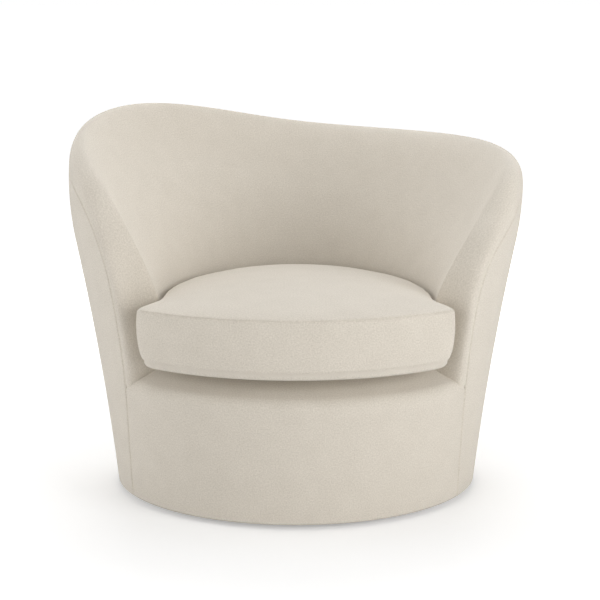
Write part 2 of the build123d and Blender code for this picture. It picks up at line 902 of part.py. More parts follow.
def zip_face(angle, gap, thickness, width):
    """Upright section of a band along the zip, leaning with the boxing."""
    share = width / 2 / (cushion_high_seam - cushion_low_seam)
    low = cushion_back_radius(0.5 - share, 0) + gap
    high = cushion_back_radius(0.5 + share, 0) + gap
    with BuildSketch(meridian(angle)) as section:
        with BuildLine():
            Polyline(
                (low, zip_height - width / 2),
                (low + thickness, zip_height - width / 2),
                (high + thickness, zip_height + width / 2),
                (high, zip_height + width / 2),
                close=True,
            )
        make_face()
    return section.sketch


with BuildPart() as cushion_zip:
    revolve(
        zip_face(zip_half_angle, zip_gap, zip_tape_thickness, zip_tape_width),
        axis=Axis.Z,
        revolution_arc=2 * zip_half_angle,
    )
write(cushion_zip, "cushion_zip")

slider_turn = slider_length / cushion_back_radius(0.5, 0) / radians(1)
with BuildPart() as zip_slider:
    revolve(
        zip_face(
            slider_end_angle + slider_turn / 2,
            zip_gap + zip_tape_thickness + slack,
            slider_thickness,
            slider_height,
        ),
        axis=Axis.Z,
        revolution_arc=slider_turn,
    )
write(zip_slider, "zip_slider")
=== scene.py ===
"""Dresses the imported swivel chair: cloth, cushion, seams, finishes, light and camera."""

import json
import logging
import math
from dataclasses import dataclass, field
from enum import Enum
from typing import Callable, Optional, Sequence, Union

import bmesh
import bpy
import numpy as np
from mathutils import Matrix, Vector

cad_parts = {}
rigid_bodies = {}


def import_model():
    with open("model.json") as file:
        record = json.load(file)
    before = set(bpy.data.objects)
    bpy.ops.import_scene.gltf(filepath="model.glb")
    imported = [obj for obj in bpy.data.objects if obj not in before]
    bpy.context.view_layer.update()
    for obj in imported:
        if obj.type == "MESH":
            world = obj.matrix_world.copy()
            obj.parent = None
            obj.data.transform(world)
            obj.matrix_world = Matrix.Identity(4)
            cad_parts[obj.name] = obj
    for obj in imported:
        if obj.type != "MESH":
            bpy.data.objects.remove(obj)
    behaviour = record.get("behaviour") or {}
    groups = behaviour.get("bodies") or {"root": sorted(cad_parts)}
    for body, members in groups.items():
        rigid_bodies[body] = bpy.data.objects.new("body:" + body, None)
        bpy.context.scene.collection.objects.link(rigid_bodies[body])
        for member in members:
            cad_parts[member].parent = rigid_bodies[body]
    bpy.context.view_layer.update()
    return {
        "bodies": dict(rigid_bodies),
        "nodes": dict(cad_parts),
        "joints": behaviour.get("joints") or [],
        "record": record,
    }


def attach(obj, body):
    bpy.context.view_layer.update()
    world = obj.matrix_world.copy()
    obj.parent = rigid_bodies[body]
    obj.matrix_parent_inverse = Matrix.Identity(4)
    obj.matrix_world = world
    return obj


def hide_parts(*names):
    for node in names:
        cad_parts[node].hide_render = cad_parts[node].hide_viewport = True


LOG = logging.getLogger("chair")
Array = np.ndarray
Operand = Union["Wire", float]


class Body(str, Enum):
    """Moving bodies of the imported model."""

    CHAIR = "chair"
    CUSHION = "cushion"
    SLIDER = "zip_slider"


class Slot(str, Enum):
    """Material slots of the record."""

    CLOTH = "upholstery_cloth"
    DECK = "deck_cloth"
    DUST = "dust_cloth"
    TAPE = "zip_tape"
    METAL = "zip_metal"


@dataclass(frozen=True)
class Arc:
    """Arc of a wall's profile, radius over height: side is 1 where it is hollow outwards, else -1."""

    centre: float
    level: float
    bend: float
    side: float

    @classmethod
    def through(cls, points: Sequence[tuple[float, float]]) -> "Arc":
        """Fit the arc.

        Args:
            points: Three pairs of radius and height.

        Returns:
            The arc through them.
        """
        (ax, ay), (bx, by), (cx, cy) = points
        cross = 2 * (ax * (by - cy) + bx * (cy - ay) + cx * (ay - by))
        aa, bb, cc = ax * ax + ay * ay, bx * bx + by * by, cx * cx + cy * cy
        x = (aa * (by - cy) + bb * (cy - ay) + cc * (ay - by)) / cross
        y = (aa * (cx - bx) + bb * (ax - cx) + cc * (bx - ax)) / cross
        return cls(x, y, math.hypot(ax - x, ay - y), 1.0 if x > bx else -1.0)

    def _reach(self, height: Array) -> Array:
        """Distance from the arc's upright centre line at a height."""
        return np.sqrt(np.maximum(self.bend**2 - (height - self.level) ** 2, 1e-9))

    def radius(self, height: Array) -> Array:
        """Radius at a height."""
        return self.centre - self.side * self._reach(height)

    def slope(self, height: Array) -> Array:
        """Growth of the radius with height."""
        return self.side * (height - self.level) / self._reach(height)

    def turned_upright(self, joint: float, crest: float) -> "Arc":
        """Carry the arc on.

        Args:
            joint: Height at which the new arc leaves this one, smoothly.
            crest: Height at which the new arc stands upright.

        Returns:
            The new arc.
        """
        lean = math.atan(float(self.slope(joint)))
        bend = (crest - joint) / math.sin(lean)
        return Arc(float(self.radius(joint)) - bend * math.cos(lean), crest, bend, -1.0)


@dataclass(frozen=True)
class Wall:
    """Profile of one face of the shell: two arcs that meet at a joint."""

    lower: Arc
    upper: Arc
    joint: float

    def radius(self, height: Array) -> Array:
        """Radius at a height."""
        return np.where(height < self.joint, self.lower.radius(height), self.upper.radius(height))

    def slope(self, height: Array) -> Array:
        """Growth of the radius with height."""
        return np.where(height < self.joint, self.lower.slope(height), self.upper.slope(height))


FLARE = Arc.through([(0.3600, 0.010), (0.4045, 0.330), (0.4342, 0.490)])
OUTSIDE = Wall(FLARE, FLARE.turned_upright(0.490, 0.605), 0.490)
GIRTH = 0.4045
HEM = 0.010


class Seam:
    """The line up one arm front, round the rim and down the other arm front.

    It is drawn unrolled, with turn times the girth across and height upwards, as a natural cubic spline.
    """

    POINTS = (
        (-118.4, 0.000), (-120.9, 0.113), (-124.8, 0.271), (-125.5, 0.400), (-124.4, 0.493), (-118.7, 0.566),
        (-107.0, 0.613), (-93.0, 0.649), (-76.0, 0.680), (-52.0, 0.698), (-30.0, 0.685), (-5.0, 0.655),
        (20.0, 0.640), (50.0, 0.634), (72.0, 0.626), (90.0, 0.610), (104.0, 0.585), (113.5, 0.540),
        (120.5, 0.503), (124.6, 0.455), (125.9, 0.387), (124.6, 0.241), (119.6, 0.000),
    )
    SAMPLES = 4000

    def __init__(self) -> None:
        """Draw the spline and measure its length."""
        knots = np.array([(math.radians(angle) * GIRTH, height) for angle, height in self.POINTS])
        lengths = np.r_[0, np.cumsum(np.linalg.norm(np.diff(knots, axis=0), axis=1))]
        fine = self._spline(lengths, knots, np.linspace(0, lengths[-1], self.SAMPLES))
        along = np.r_[0, np.cumsum(np.linalg.norm(np.diff(fine, axis=0), axis=1))]
        self.length = float(along[-1])
        self._share = along / along[-1]
        self._fine = fine

    @staticmethod
    def _spline(at: Array, values: Array, wanted: Array) -> Array:
        """Natural cubic spline.

        Args:
            at: Places of the knots along the line.
            values: Points at the knots.
            wanted: Places at which to read the spline.

        Returns:
            Points at the wanted places.
        """
        count = len(at)
        step = np.diff(at)
        matrix = np.eye(count)
        right = np.zeros_like(values)
        for i in range(1, count - 1):
            matrix[i, i - 1 : i + 2] = step[i - 1], 2 * (step[i - 1] + step[i]), step[i]
            right[i] = 6 * ((values[i + 1] - values[i]) / step[i] - (values[i] - values[i - 1]) / step[i - 1])
        bend = np.linalg.solve(matrix, right)
        i = np.clip(np.searchsorted(at, wanted) - 1, 0, count - 2)
        h = step[i][:, None]
        a = (at[i + 1] - wanted)[:, None] / h
        b = 1 - a
        cubic = ((a**3 - a) * bend[i] + (b**3 - b) * bend[i + 1]) * h**2 / 6
        return a * values[i] + b * values[i + 1] + cubic

    def at(self, share: Array) -> tuple[Array, Array]:
        """Turn in radians and height at shares of the seam's length."""
        across = np.interp(share, self._share, self._fine[:, 0])
        return across / GIRTH, np.interp(share, self._share, self._fine[:, 1])

    def share_at(self, height: float, right: bool) -> float:
        """Where an arm front passes a height near the seat.

        Args:
            height: The height.
            right: Whether it is the right arm.

        Returns:
            Share of the seam's length.
        """
        part = self._share > 0.8 if right else self._share < 0.2
        nearest = np.argmin(np.abs(self._fine[part, 1] - height))
        return float(self._share[part][nearest])

    def turn_at(self, height: Array, right: bool) -> Array:
        """Where an arm front's seam lies below the middle of the arm.

        Args:
            height: Heights.
            right: Whether it is the right arm.

        Returns:
            Turns in radians.
        """
        part = self._share > 0.8 if right else self._share < 0.2
        line = self._fine[part]
        order = np.argsort(line[:, 1])
        return np.interp(height, line[order, 1], line[order, 0]) / GIRTH


SEAM = Seam()


def smooth_step(value: Array, low: float, high: float) -> Array:
    """Smooth rise from 0 at low to 1 at high."""
    t = np.clip((value - low) / (high - low), 0, 1)
    return t * t * (3 - 2 * t)


def around(radius: Array, turn: Array, height: Array) -> Array:
    """Points at distances, turns and heights about the swivel axis, one more axis than those."""
    radius, turn, height = np.broadcast_arrays(radius, turn, height)
    return np.stack([radius * np.sin(turn), radius * np.cos(turn), height], axis=-1)


def on_wall(wall: Wall, turn: Array, height: Array, lift: Array | float = 0.0) -> Array:
    """Points on a flared wall.

    Args:
        wall: The wall's profile.
        turn: Turns from the middle of the back, in radians.
        height: Heights of the points.
        lift: Distance off the wall, outwards and square to it.

    Returns:
        Points, one more axis than the turns.
    """
    slope = wall.slope(height)
    size = np.sqrt(1 + slope**2)
    return around(wall.radius(height) + lift / size, turn, height - lift * slope / size)


@dataclass(frozen=True)
class Bowl:
    """Inside of the shell: at each height half an ellipse that opens forwards, wider towards the rim."""

    middle: float = -0.200
    level: float = 0.402
    left: tuple[float, float, float] = (0.2585, 0.26, 1.35)
    right: tuple[float, float, float] = (0.2635, 0.33, 1.85)
    back: tuple[float, float, float] = (0.402, 0.35, 1.60)
    thinnest: float = 0.048
    softness: float = 0.012
    blend: float = 0.35

    def _reach(self, growth: tuple[float, float, float], height: Array) -> Array:
        """Half an axis at a height: its size at the seat, and how it grows above."""
        rise = np.clip(height - self.level, 0, None)
        return growth[0] + growth[1] * rise + growth[2] * rise**2

    def radius(self, turn: Array, height: Array) -> Array:
        """Distance of the inside from the swivel axis.

        Args:
            turn: Turns from the middle of the back, in radians.
            height: Heights.

        Returns:
            The distances, never nearer to the outside than the thinnest wall.
        """
        share = smooth_step(turn, -self.blend, self.blend)
        across = self._reach(self.left, height) * (1 - share) + self._reach(self.right, height) * share
        deep = self._reach(self.back, height)
        x, y = np.sin(turn) / across, np.cos(turn) / deep
        offset = self.middle / deep
        square, half = x**2 + y**2, y * offset
        radius = (half + np.sqrt(np.maximum(half**2 - square * (offset**2 - 1), 1e-9))) / square
        spare = OUTSIDE.radius(height) - radius - self.thinnest
        return radius + 0.5 * (spare - np.sqrt(spare**2 + self.softness**2))

    def points(self, turn: Array, height: Array) -> Array:
        """Points on the inside, one more axis than the turns."""
        return around(self.radius(turn, height), turn, height)


INSIDE = Bowl()


def groove(distance: Array, depth: float, width: float) -> Array:
    """Depth of a sewn groove at a distance from its seam."""
    return depth * np.exp(-((distance / width) ** 2))


def made_piece(name: str, mesh: bmesh.types.BMesh) -> bpy.types.Object:
    """Turn a finished mesh into an object of the scene.

    Args:
        name: Name of the piece.
        mesh: Its mesh, which is freed.

    Returns:
        The new object.
    """
    data = bpy.data.meshes.new(name)
    mesh.to_mesh(data)
    mesh.free()
    piece = bpy.data.objects.new(name, data)
    bpy.context.scene.collection.objects.link(piece)
    return piece


class Cloth:
    """Collects grids of points into one mesh with cloth coordinates in metres."""

    def __init__(self, name: str) -> None:
        """Start an empty mesh for a piece of the given name."""
        self.name = name
        self._mesh = bmesh.new()
        self._uv = self._mesh.loops.layers.uv.new("weave")

    def grid(self, points: Array, weave: Array, ring: bool = False) -> None:
        """Add a grid of quads.

        Args:
            points: Rows by columns by three.
            weave: Rows by columns by two, the cloth's own coordinates.
            ring: Whether the last column joins the first.
        """
        rows, columns = points.shape[:2]
        vertices = [[self._mesh.verts.new(p) for p in row] for row in points]
        for i in range(rows - 1):
            for j in range(columns if ring else columns - 1):
                k = (j + 1) % columns
                corners = [(i, j), (i, k), (i + 1, k), (i + 1, j)]
                face = self._mesh.faces.new([vertices[a][b] for a, b in corners])
                face.smooth = True
                for loop, (a, b) in zip(face.loops, corners):
                    loop[self._uv].uv = weave[a][b]

    def build(self, outwards: Callable[[Vector], Vector], levels: int = 1) -> bpy.types.Object:
        """Weld the grids, face them outwards and make the object.

        Args:
            outwards: Direction that a face at a point should roughly face.
            levels: Subdivision levels.

        Returns:
            The new object.
        """
        bmesh.ops.remove_doubles(self._mesh, verts=self._mesh.verts, dist=3e-5)
        self._mesh.normal_update()
        turned = [f for f in self._mesh.faces if f.normal.dot(outwards(f.calc_center_median())) < 0]
        if len(turned) > len(self._mesh.faces) / 2:
            bmesh.ops.reverse_faces(self._mesh, faces=self._mesh.faces)
        piece = made_piece(self.name, self._mesh)
        if levels:
            modifier = piece.modifiers.new("subdivision", "SUBSURF")
            modifier.levels = modifier.render_levels = levels
        return piece


@dataclass(frozen=True)
class SewnEdge:
    """How cloth dips into a seam."""

    depth: float = 0.0022
    width: float = 0.0017
    rows: tuple[float, ...] = (0.0, 0.0006, 0.0012, 0.0020, 0.0032, 0.0052, 0.009, 0.015, 0.022, 0.030)


@dataclass
class WallPanel:
    """Cloth on a wall inside the seam, in rows that follow the seam and shrink to a point below."""

    floor: float
    columns: int = 240
    shrinking_rows: int = 26
    edge: SewnEdge = field(default_factory=SewnEdge)

    def places(self, start: Callable[[Array], Array] = np.zeros_like) -> tuple[Array, Array, Array]:
        """Lay out the panel.

        Args:
            start: Distance from the seam at which the cloth begins, by the seam's height.

        Returns:
            Turns, heights and distances from the cloth's edge of its points, rows by columns.
        """
        first = SEAM.share_at(self.floor, right=False)
        last = SEAM.share_at(self.floor, right=True)
        turn, height = SEAM.at(np.linspace(first, last, self.columns))
        line = np.stack([turn * GIRTH, height], axis=-1)
        line[0, 1] = line[-1, 1] = self.floor
        run = np.gradient(line, axis=0)
        inner = np.stack([run[:, 1], -run[:, 0]], axis=-1)
        inner[:, 1] *= smooth_step(line[:, 1], self.floor, self.floor + 0.06)
        inner /= np.linalg.norm(inner, axis=1, keepdims=True)
        begin = line + inner * start(height)[:, None]
        rows = [begin + inner * gap for gap in self.edge.rows]
        centre = np.array([0.0, self.floor])
        last_row = rows[-1]
        for share in np.linspace(0, 1, self.shrinking_rows)[1:]:
            rows.append(last_row + (centre - last_row) * share)
        flat = np.array(rows)
        gaps = np.full(flat.shape[:2], 1.0)
        gaps[: len(self.edge.rows)] = np.array(self.edge.rows)[:, None]
        return flat[..., 0] / GIRTH, flat[..., 1], gaps


@dataclass(frozen=True)
class Upholstery:
    """The fixed cloth of the shell: outside, roll with inside, front and deck."""

    deck_height: float = 0.2868
    deck_radius: float = 0.2835
    foot: float = 0.232
    lap: float = 0.30
    lean: float = 1.15
    seam_fade: tuple[float, float] = (0.235, 0.250)
    outside_cut: tuple[float, float] = (2.05, 0.74)
    above_rim: float = 0.72
    hem_fold: tuple[tuple[float, float], ...] = (
        (0.0, 0.0), (-0.0007, -0.0009), (-0.0024, -0.0014), (-0.009, -0.0014), (-0.024, -0.0012)
    )
    deck_edge: tuple[tuple[float, float], ...] = (
        (0.02, 0.0), (0.25, 0.0), (0.5, 0.0), (0.7, 0.0002), (0.85, 0.0006),
        (0.94, 0.0014), (0.975, 0.0028), (0.992, 0.0048), (1.0, 0.0078), (1.0, 0.014),
    )

    def outside(self) -> bpy.types.Object:
        """Panel round the back and sides, with its hem turned under the drum."""
        panel = WallPanel(HEM, columns=400, shrinking_rows=44)
        edge = panel.edge
        turn, height, gap = panel.places()
        cloth = Cloth("outside_cloth")
        points = on_wall(OUTSIDE, turn, height, -groove(gap, edge.depth, edge.width))
        cloth.grid(points, np.stack([turn * GIRTH, height], axis=-1))
        bottom = np.concatenate([turn[:, 0], turn[::-1, -1][1:]])
        edge_gap = np.concatenate([gap[:, 0], gap[::-1, -1][1:]])
        self._hem(cloth, bottom, -groove(edge_gap, edge.depth, edge.width))
        return cloth.build(lambda p: Vector((p.x, p.y, -1.0 if p.z < HEM - 1e-4 else 0.0)), levels=0)

    def outside_area(self) -> float:
        """Flat area of the outside panel, from the wall under the seam and the hem, not from its mesh."""
        levels = np.linspace(HEM, self.above_rim, 800)
        strip = OUTSIDE.radius(levels) * np.sqrt(1 + OUTSIDE.slope(levels) ** 2)
        below = np.r_[0, np.cumsum((strip[1:] + strip[:-1]) / 2 * np.diff(levels))]
        turn, height = SEAM.at(np.linspace(0, 1, Seam.SAMPLES))
        under = np.interp(height, levels, below)
        wall = float(np.sum((under[1:] + under[:-1]) / 2 * np.diff(turn)))
        hem = float((turn[-1] - turn[0]) * OUTSIDE.radius(np.array(HEM))) * -self.hem_fold[-1][0]
        return wall + hem

    def _hem(self, cloth: Cloth, turn: Array, lift: Array) -> None:
        """Fold cloth under the drum's lower edge.

        Args:
            cloth: The cloth to add the fold to.
            turn: Turns of its points along the edge.
            lift: Their distances off the wall.
        """
        foot = on_wall(OUTSIDE, turn, np.full_like(turn, HEM), lift)
        outward = around(1.0, turn, 0.0)
        up = np.array([0.0, 0.0, 1.0])
        rows, weave = [], []
        for across, rise in self.hem_fold:
            rows.append(foot + outward * across + up * rise)
            weave.append(np.stack([turn * GIRTH, np.full_like(turn, HEM + rise + across)], axis=-1))
        cloth.grid(np.array(rows), np.array(weave))

    def roll_and_inside(self) -> bpy.types.Object:
        """The roll over the rim and arm fronts, and the inside that runs on from it down to the deck."""
        cloth = Cloth("inside_cloth")
        roll = Roll()
        turn, height, _ = WallPanel(self.foot, roll.columns, shrinking_rows=40).places(roll.drop)
        inside = INSIDE.points(turn, height)
        cloth.grid(inside, np.stack([turn * self.lap, height * self.lean], axis=-1))
        cloth.grid(*roll.grid(self.foot, inside[0], inside[0] - inside[1]))
        return cloth.build(self._inside_facing)

    @staticmethod
    def _inside_facing(point: Vector) -> Vector:
        """Rough facing of the roll and the inside: towards the seat's middle, forwards and up."""
        return Vector((0.0, -0.25, 0.75)) - point

    def front(self) -> bpy.types.Object:
        """Panel across the front of the drum, over its rounded top edge to the deck."""
        nose = Nose()
        radius, height = nose.profile().T
        low = np.minimum(height, nose.shoulder)
        right = SEAM.turn_at(low, right=True)
        left = SEAM.turn_at(low, right=False) + 2 * math.pi
        edge = SewnEdge()
        near = np.array(edge.rows)
        width = (left - right)[:, None]
        margin = near[None, :] / radius[:, None]
        middle = np.linspace(0, 1, 90)[None, 1:-1]
        inner = right[:, None] + margin[:, -1:] + (width - 2 * margin[:, -1:]) * middle
        turn = np.concatenate([right[:, None] + margin, inner, (left[:, None] - margin)[:, ::-1]], axis=1)
        gap = np.broadcast_to(np.r_[near, np.ones(inner.shape[1]), near[::-1]], turn.shape)
        shown = (1 - smooth_step(height, *self.seam_fade))[:, None]
        points = around(radius[:, None] - groove(gap, edge.depth, edge.width) * shown, turn, height[:, None])
        along = np.r_[0, np.cumsum(np.hypot(np.diff(radius), np.diff(height)))]
        weave = np.stack([turn * GIRTH, np.tile(along[:, None], (1, turn.shape[1]))], axis=-1)
        cloth = Cloth("front_cloth")
        cloth.grid(points, weave)
        self._hem(cloth, turn[0], -groove(gap[0], edge.depth, edge.width))
        return cloth.build(lambda p: Vector((p.x, p.y, 0.4)))

    def deck(self) -> bpy.types.Object:
        """Plain cloth over the deck pad, under the loose cushion."""
        shares, drops = np.array(self.deck_edge).T[:, :, None]
        turn = np.linspace(0, 2 * math.pi, 120, endpoint=False)
        points = around(shares * self.deck_radius, turn, self.deck_height - drops)
        cloth = Cloth("deck_cloth")
        cloth.grid(points, points[..., :2], ring=True)
        middle = np.repeat(np.array([[[0.0, 0.0, self.deck_height]]]), len(turn), axis=1)
        centre = np.concatenate([middle, points[:1]])
        cloth.grid(centre, centre[..., :2], ring=True)
        return cloth.build(lambda p: Vector((p.x, p.y, 0.5)), levels=0)


@dataclass(frozen=True)
class Nose:
    """Profile of the front: up the drum, round the top edge and back to the deck."""

    shoulder: float = 0.262
    slope: float = math.radians(23.0)
    start: tuple[float, float] = (0.290, 0.2875)
    bend: float = 0.023
    tuck: tuple[tuple[float, float], ...] = (
        (0.2872, 0.2882), (0.2852, 0.2868), (0.2846, 0.2830), (0.2845, 0.2760)
    )

    def profile(self) -> Array:
        """Radius and height of the profile's points, from the hem to the tuck beside the deck."""
        start = np.array(self.start)
        back = np.array([-math.cos(self.slope), math.sin(self.slope)])
        height = start[1]
        for _ in range(30):
            reach = float(OUTSIDE.radius(height)) - start[0]
            height = start[1] - reach * math.tan(self.slope)
        corner = np.array([float(OUTSIDE.radius(height)), height])
        lean = float(OUTSIDE.slope(height))
        up = np.array([lean, 1.0]) / math.hypot(lean, 1.0)
        between = math.acos(float(np.dot(-up, back)))
        cut = self.bend / math.tan(between / 2)
        first, last = corner - up * cut, corner + back * cut
        heights = np.linspace(HEM, first[1], 34)[:-1]
        wall = np.stack([OUTSIDE.radius(heights), heights], axis=-1)
        middle = corner + (back - up) / np.linalg.norm(back - up) * (self.bend / math.sin(between / 2))
        angles = [math.atan2(*(p - middle)[::-1]) for p in (first, last)]
        turns = np.linspace(angles[0], angles[1], 12)
        arc = middle + self.bend * np.stack([np.cos(turns), np.sin(turns)], axis=-1)
        top = last + (start - last) * np.linspace(0, 1, 14)[1:, None]
        return np.concatenate([wall, arc, top, np.array(self.tuck)])


@dataclass(frozen=True)
class Roll:
    """Padded roll along the seam: from the seam over its top, and on to the inside of the wall.

    A pair named heights is a stretch of the seam's height. The pairs from shoulder to hang are a control's
    reach as a share, on the arms, and how much less it is at the rim.
    """

    columns: int = 240
    rim_bulge: float = 0.042
    arm_bulge: float = 0.022
    outer_steps: tuple[float, ...] = (
        0.0, 0.01, 0.02, 0.035, 0.056, 0.09, 0.14, 0.2, 0.28, 0.37, 0.47, 0.58, 0.7, 0.82, 0.92, 1.0
    )
    inner_steps: int = 24
    least_drop: float = 0.004
    rim_drop: float = 0.076
    sink: float = 0.12
    sink_below: float = 0.246
    drop_heights: tuple[float, float] = (0.47, 0.645)
    rim_heights: tuple[float, float] = (0.46, 0.61)
    soft_heights: tuple[float, float] = (0.50, 0.64)
    lean_share: float = 0.6
    top_shift: float = 0.12
    shoulder: tuple[float, float] = (0.86, 0.26)
    crest_out: tuple[float, float] = (0.82, 0.20)
    crest_in: tuple[float, float] = (0.90, 0.20)
    hang: tuple[float, float] = (0.90, 0.36)

    def drop(self, height: Array) -> Array:
        """How far past the seam the roll runs on before it meets the inside of the wall."""
        return self.least_drop + self.rim_drop * smooth_step(height, *self.drop_heights)

    def grid(self, foot: float, meets: Array, upwards: Array) -> tuple[Array, Array]:
        """Carry the section along the seam.

        Args:
            foot: Height at which the roll starts on both arms.
            meets: Points at which the roll meets the inside of the wall, one for each station.
            upwards: Directions of the wall there, towards the seam.

        Returns:
            Points of the roll, section by station, and their cloth coordinates.
        """
        ends = SEAM.share_at(foot, right=False), SEAM.share_at(foot, right=True)
        share = np.linspace(*ends, self.columns)
        turn, height = SEAM.at(share)
        outward = around(1.0, turn, 0.0)
        seam = around(OUTSIDE.radius(height), turn, height)
        run = np.gradient(seam, axis=0)
        run -= outward * np.sum(run * outward, axis=1, keepdims=True)
        run /= np.linalg.norm(run, axis=1, keepdims=True)
        rising = np.cross(run, outward)
        upwards = upwards / np.linalg.norm(upwards, axis=1, keepdims=True)
        rim = smooth_step(height, *self.rim_heights)[:, None]
        soft = smooth_step(height, *self.soft_heights)[:, None]
        bulge = self.arm_bulge + (self.rim_bulge - self.arm_bulge) * rim
        half = (OUTSIDE.radius(height) - INSIDE.radius(turn, height))[:, None] / 2
        lean = self.lean_share * (OUTSIDE.slope(height) * rising[:, 2])[:, None]
        top = seam - outward * half * (1 - self.top_shift * soft) + rising * bulge
        depth = np.sum((top - meets) * upwards, axis=1, keepdims=True)
        outer = [
            seam,
            seam + (rising + outward * lean) * bulge * (self.shoulder[0] - self.shoulder[1] * rim),
            top + outward * half * (self.crest_out[0] - self.crest_out[1] * rim),
            top,
        ]
        inner = [
            top,
            top - outward * half * (self.crest_in[0] - self.crest_in[1] * soft),
            meets + upwards * depth * (self.hang[0] - self.hang[1] * soft),
            meets,
        ]
        inner_at = np.linspace(0, 1, self.inner_steps + 1)[1:]
        outer_at = np.array(self.outer_steps)
        section = np.concatenate([self._curve(outer, outer_at), self._curve(inner, inner_at)])
        steps = np.linalg.norm(np.diff(section, axis=0), axis=2)
        along = np.concatenate([np.zeros((1, self.columns)), np.cumsum(steps, axis=0)])
        edge = SewnEdge()
        sunk = groove(along, edge.depth, edge.width) + self.sink * np.clip(self.sink_below - height, 0, None)
        section -= outward * sunk[..., None]
        return section, np.stack([np.tile(share * SEAM.length, (len(section), 1)), along], axis=-1)

    @staticmethod
    def _curve(control: Sequence[Array], at: Array) -> Array:
        """Cubic curves, one for each station.

        Args:
            control: Four controls, stations by three each.
            at: Places along the curves, from 0 to 1.

        Returns:
            Places by stations by three.
        """
        t = at[:, None, None]
        a, b, c, d = (point[None] for point in control)
        return a * (1 - t) ** 3 + 3 * b * t * (1 - t) ** 2 + 3 * c * t**2 * (1 - t) + d * t**3


Ring = tuple[Array, Array]


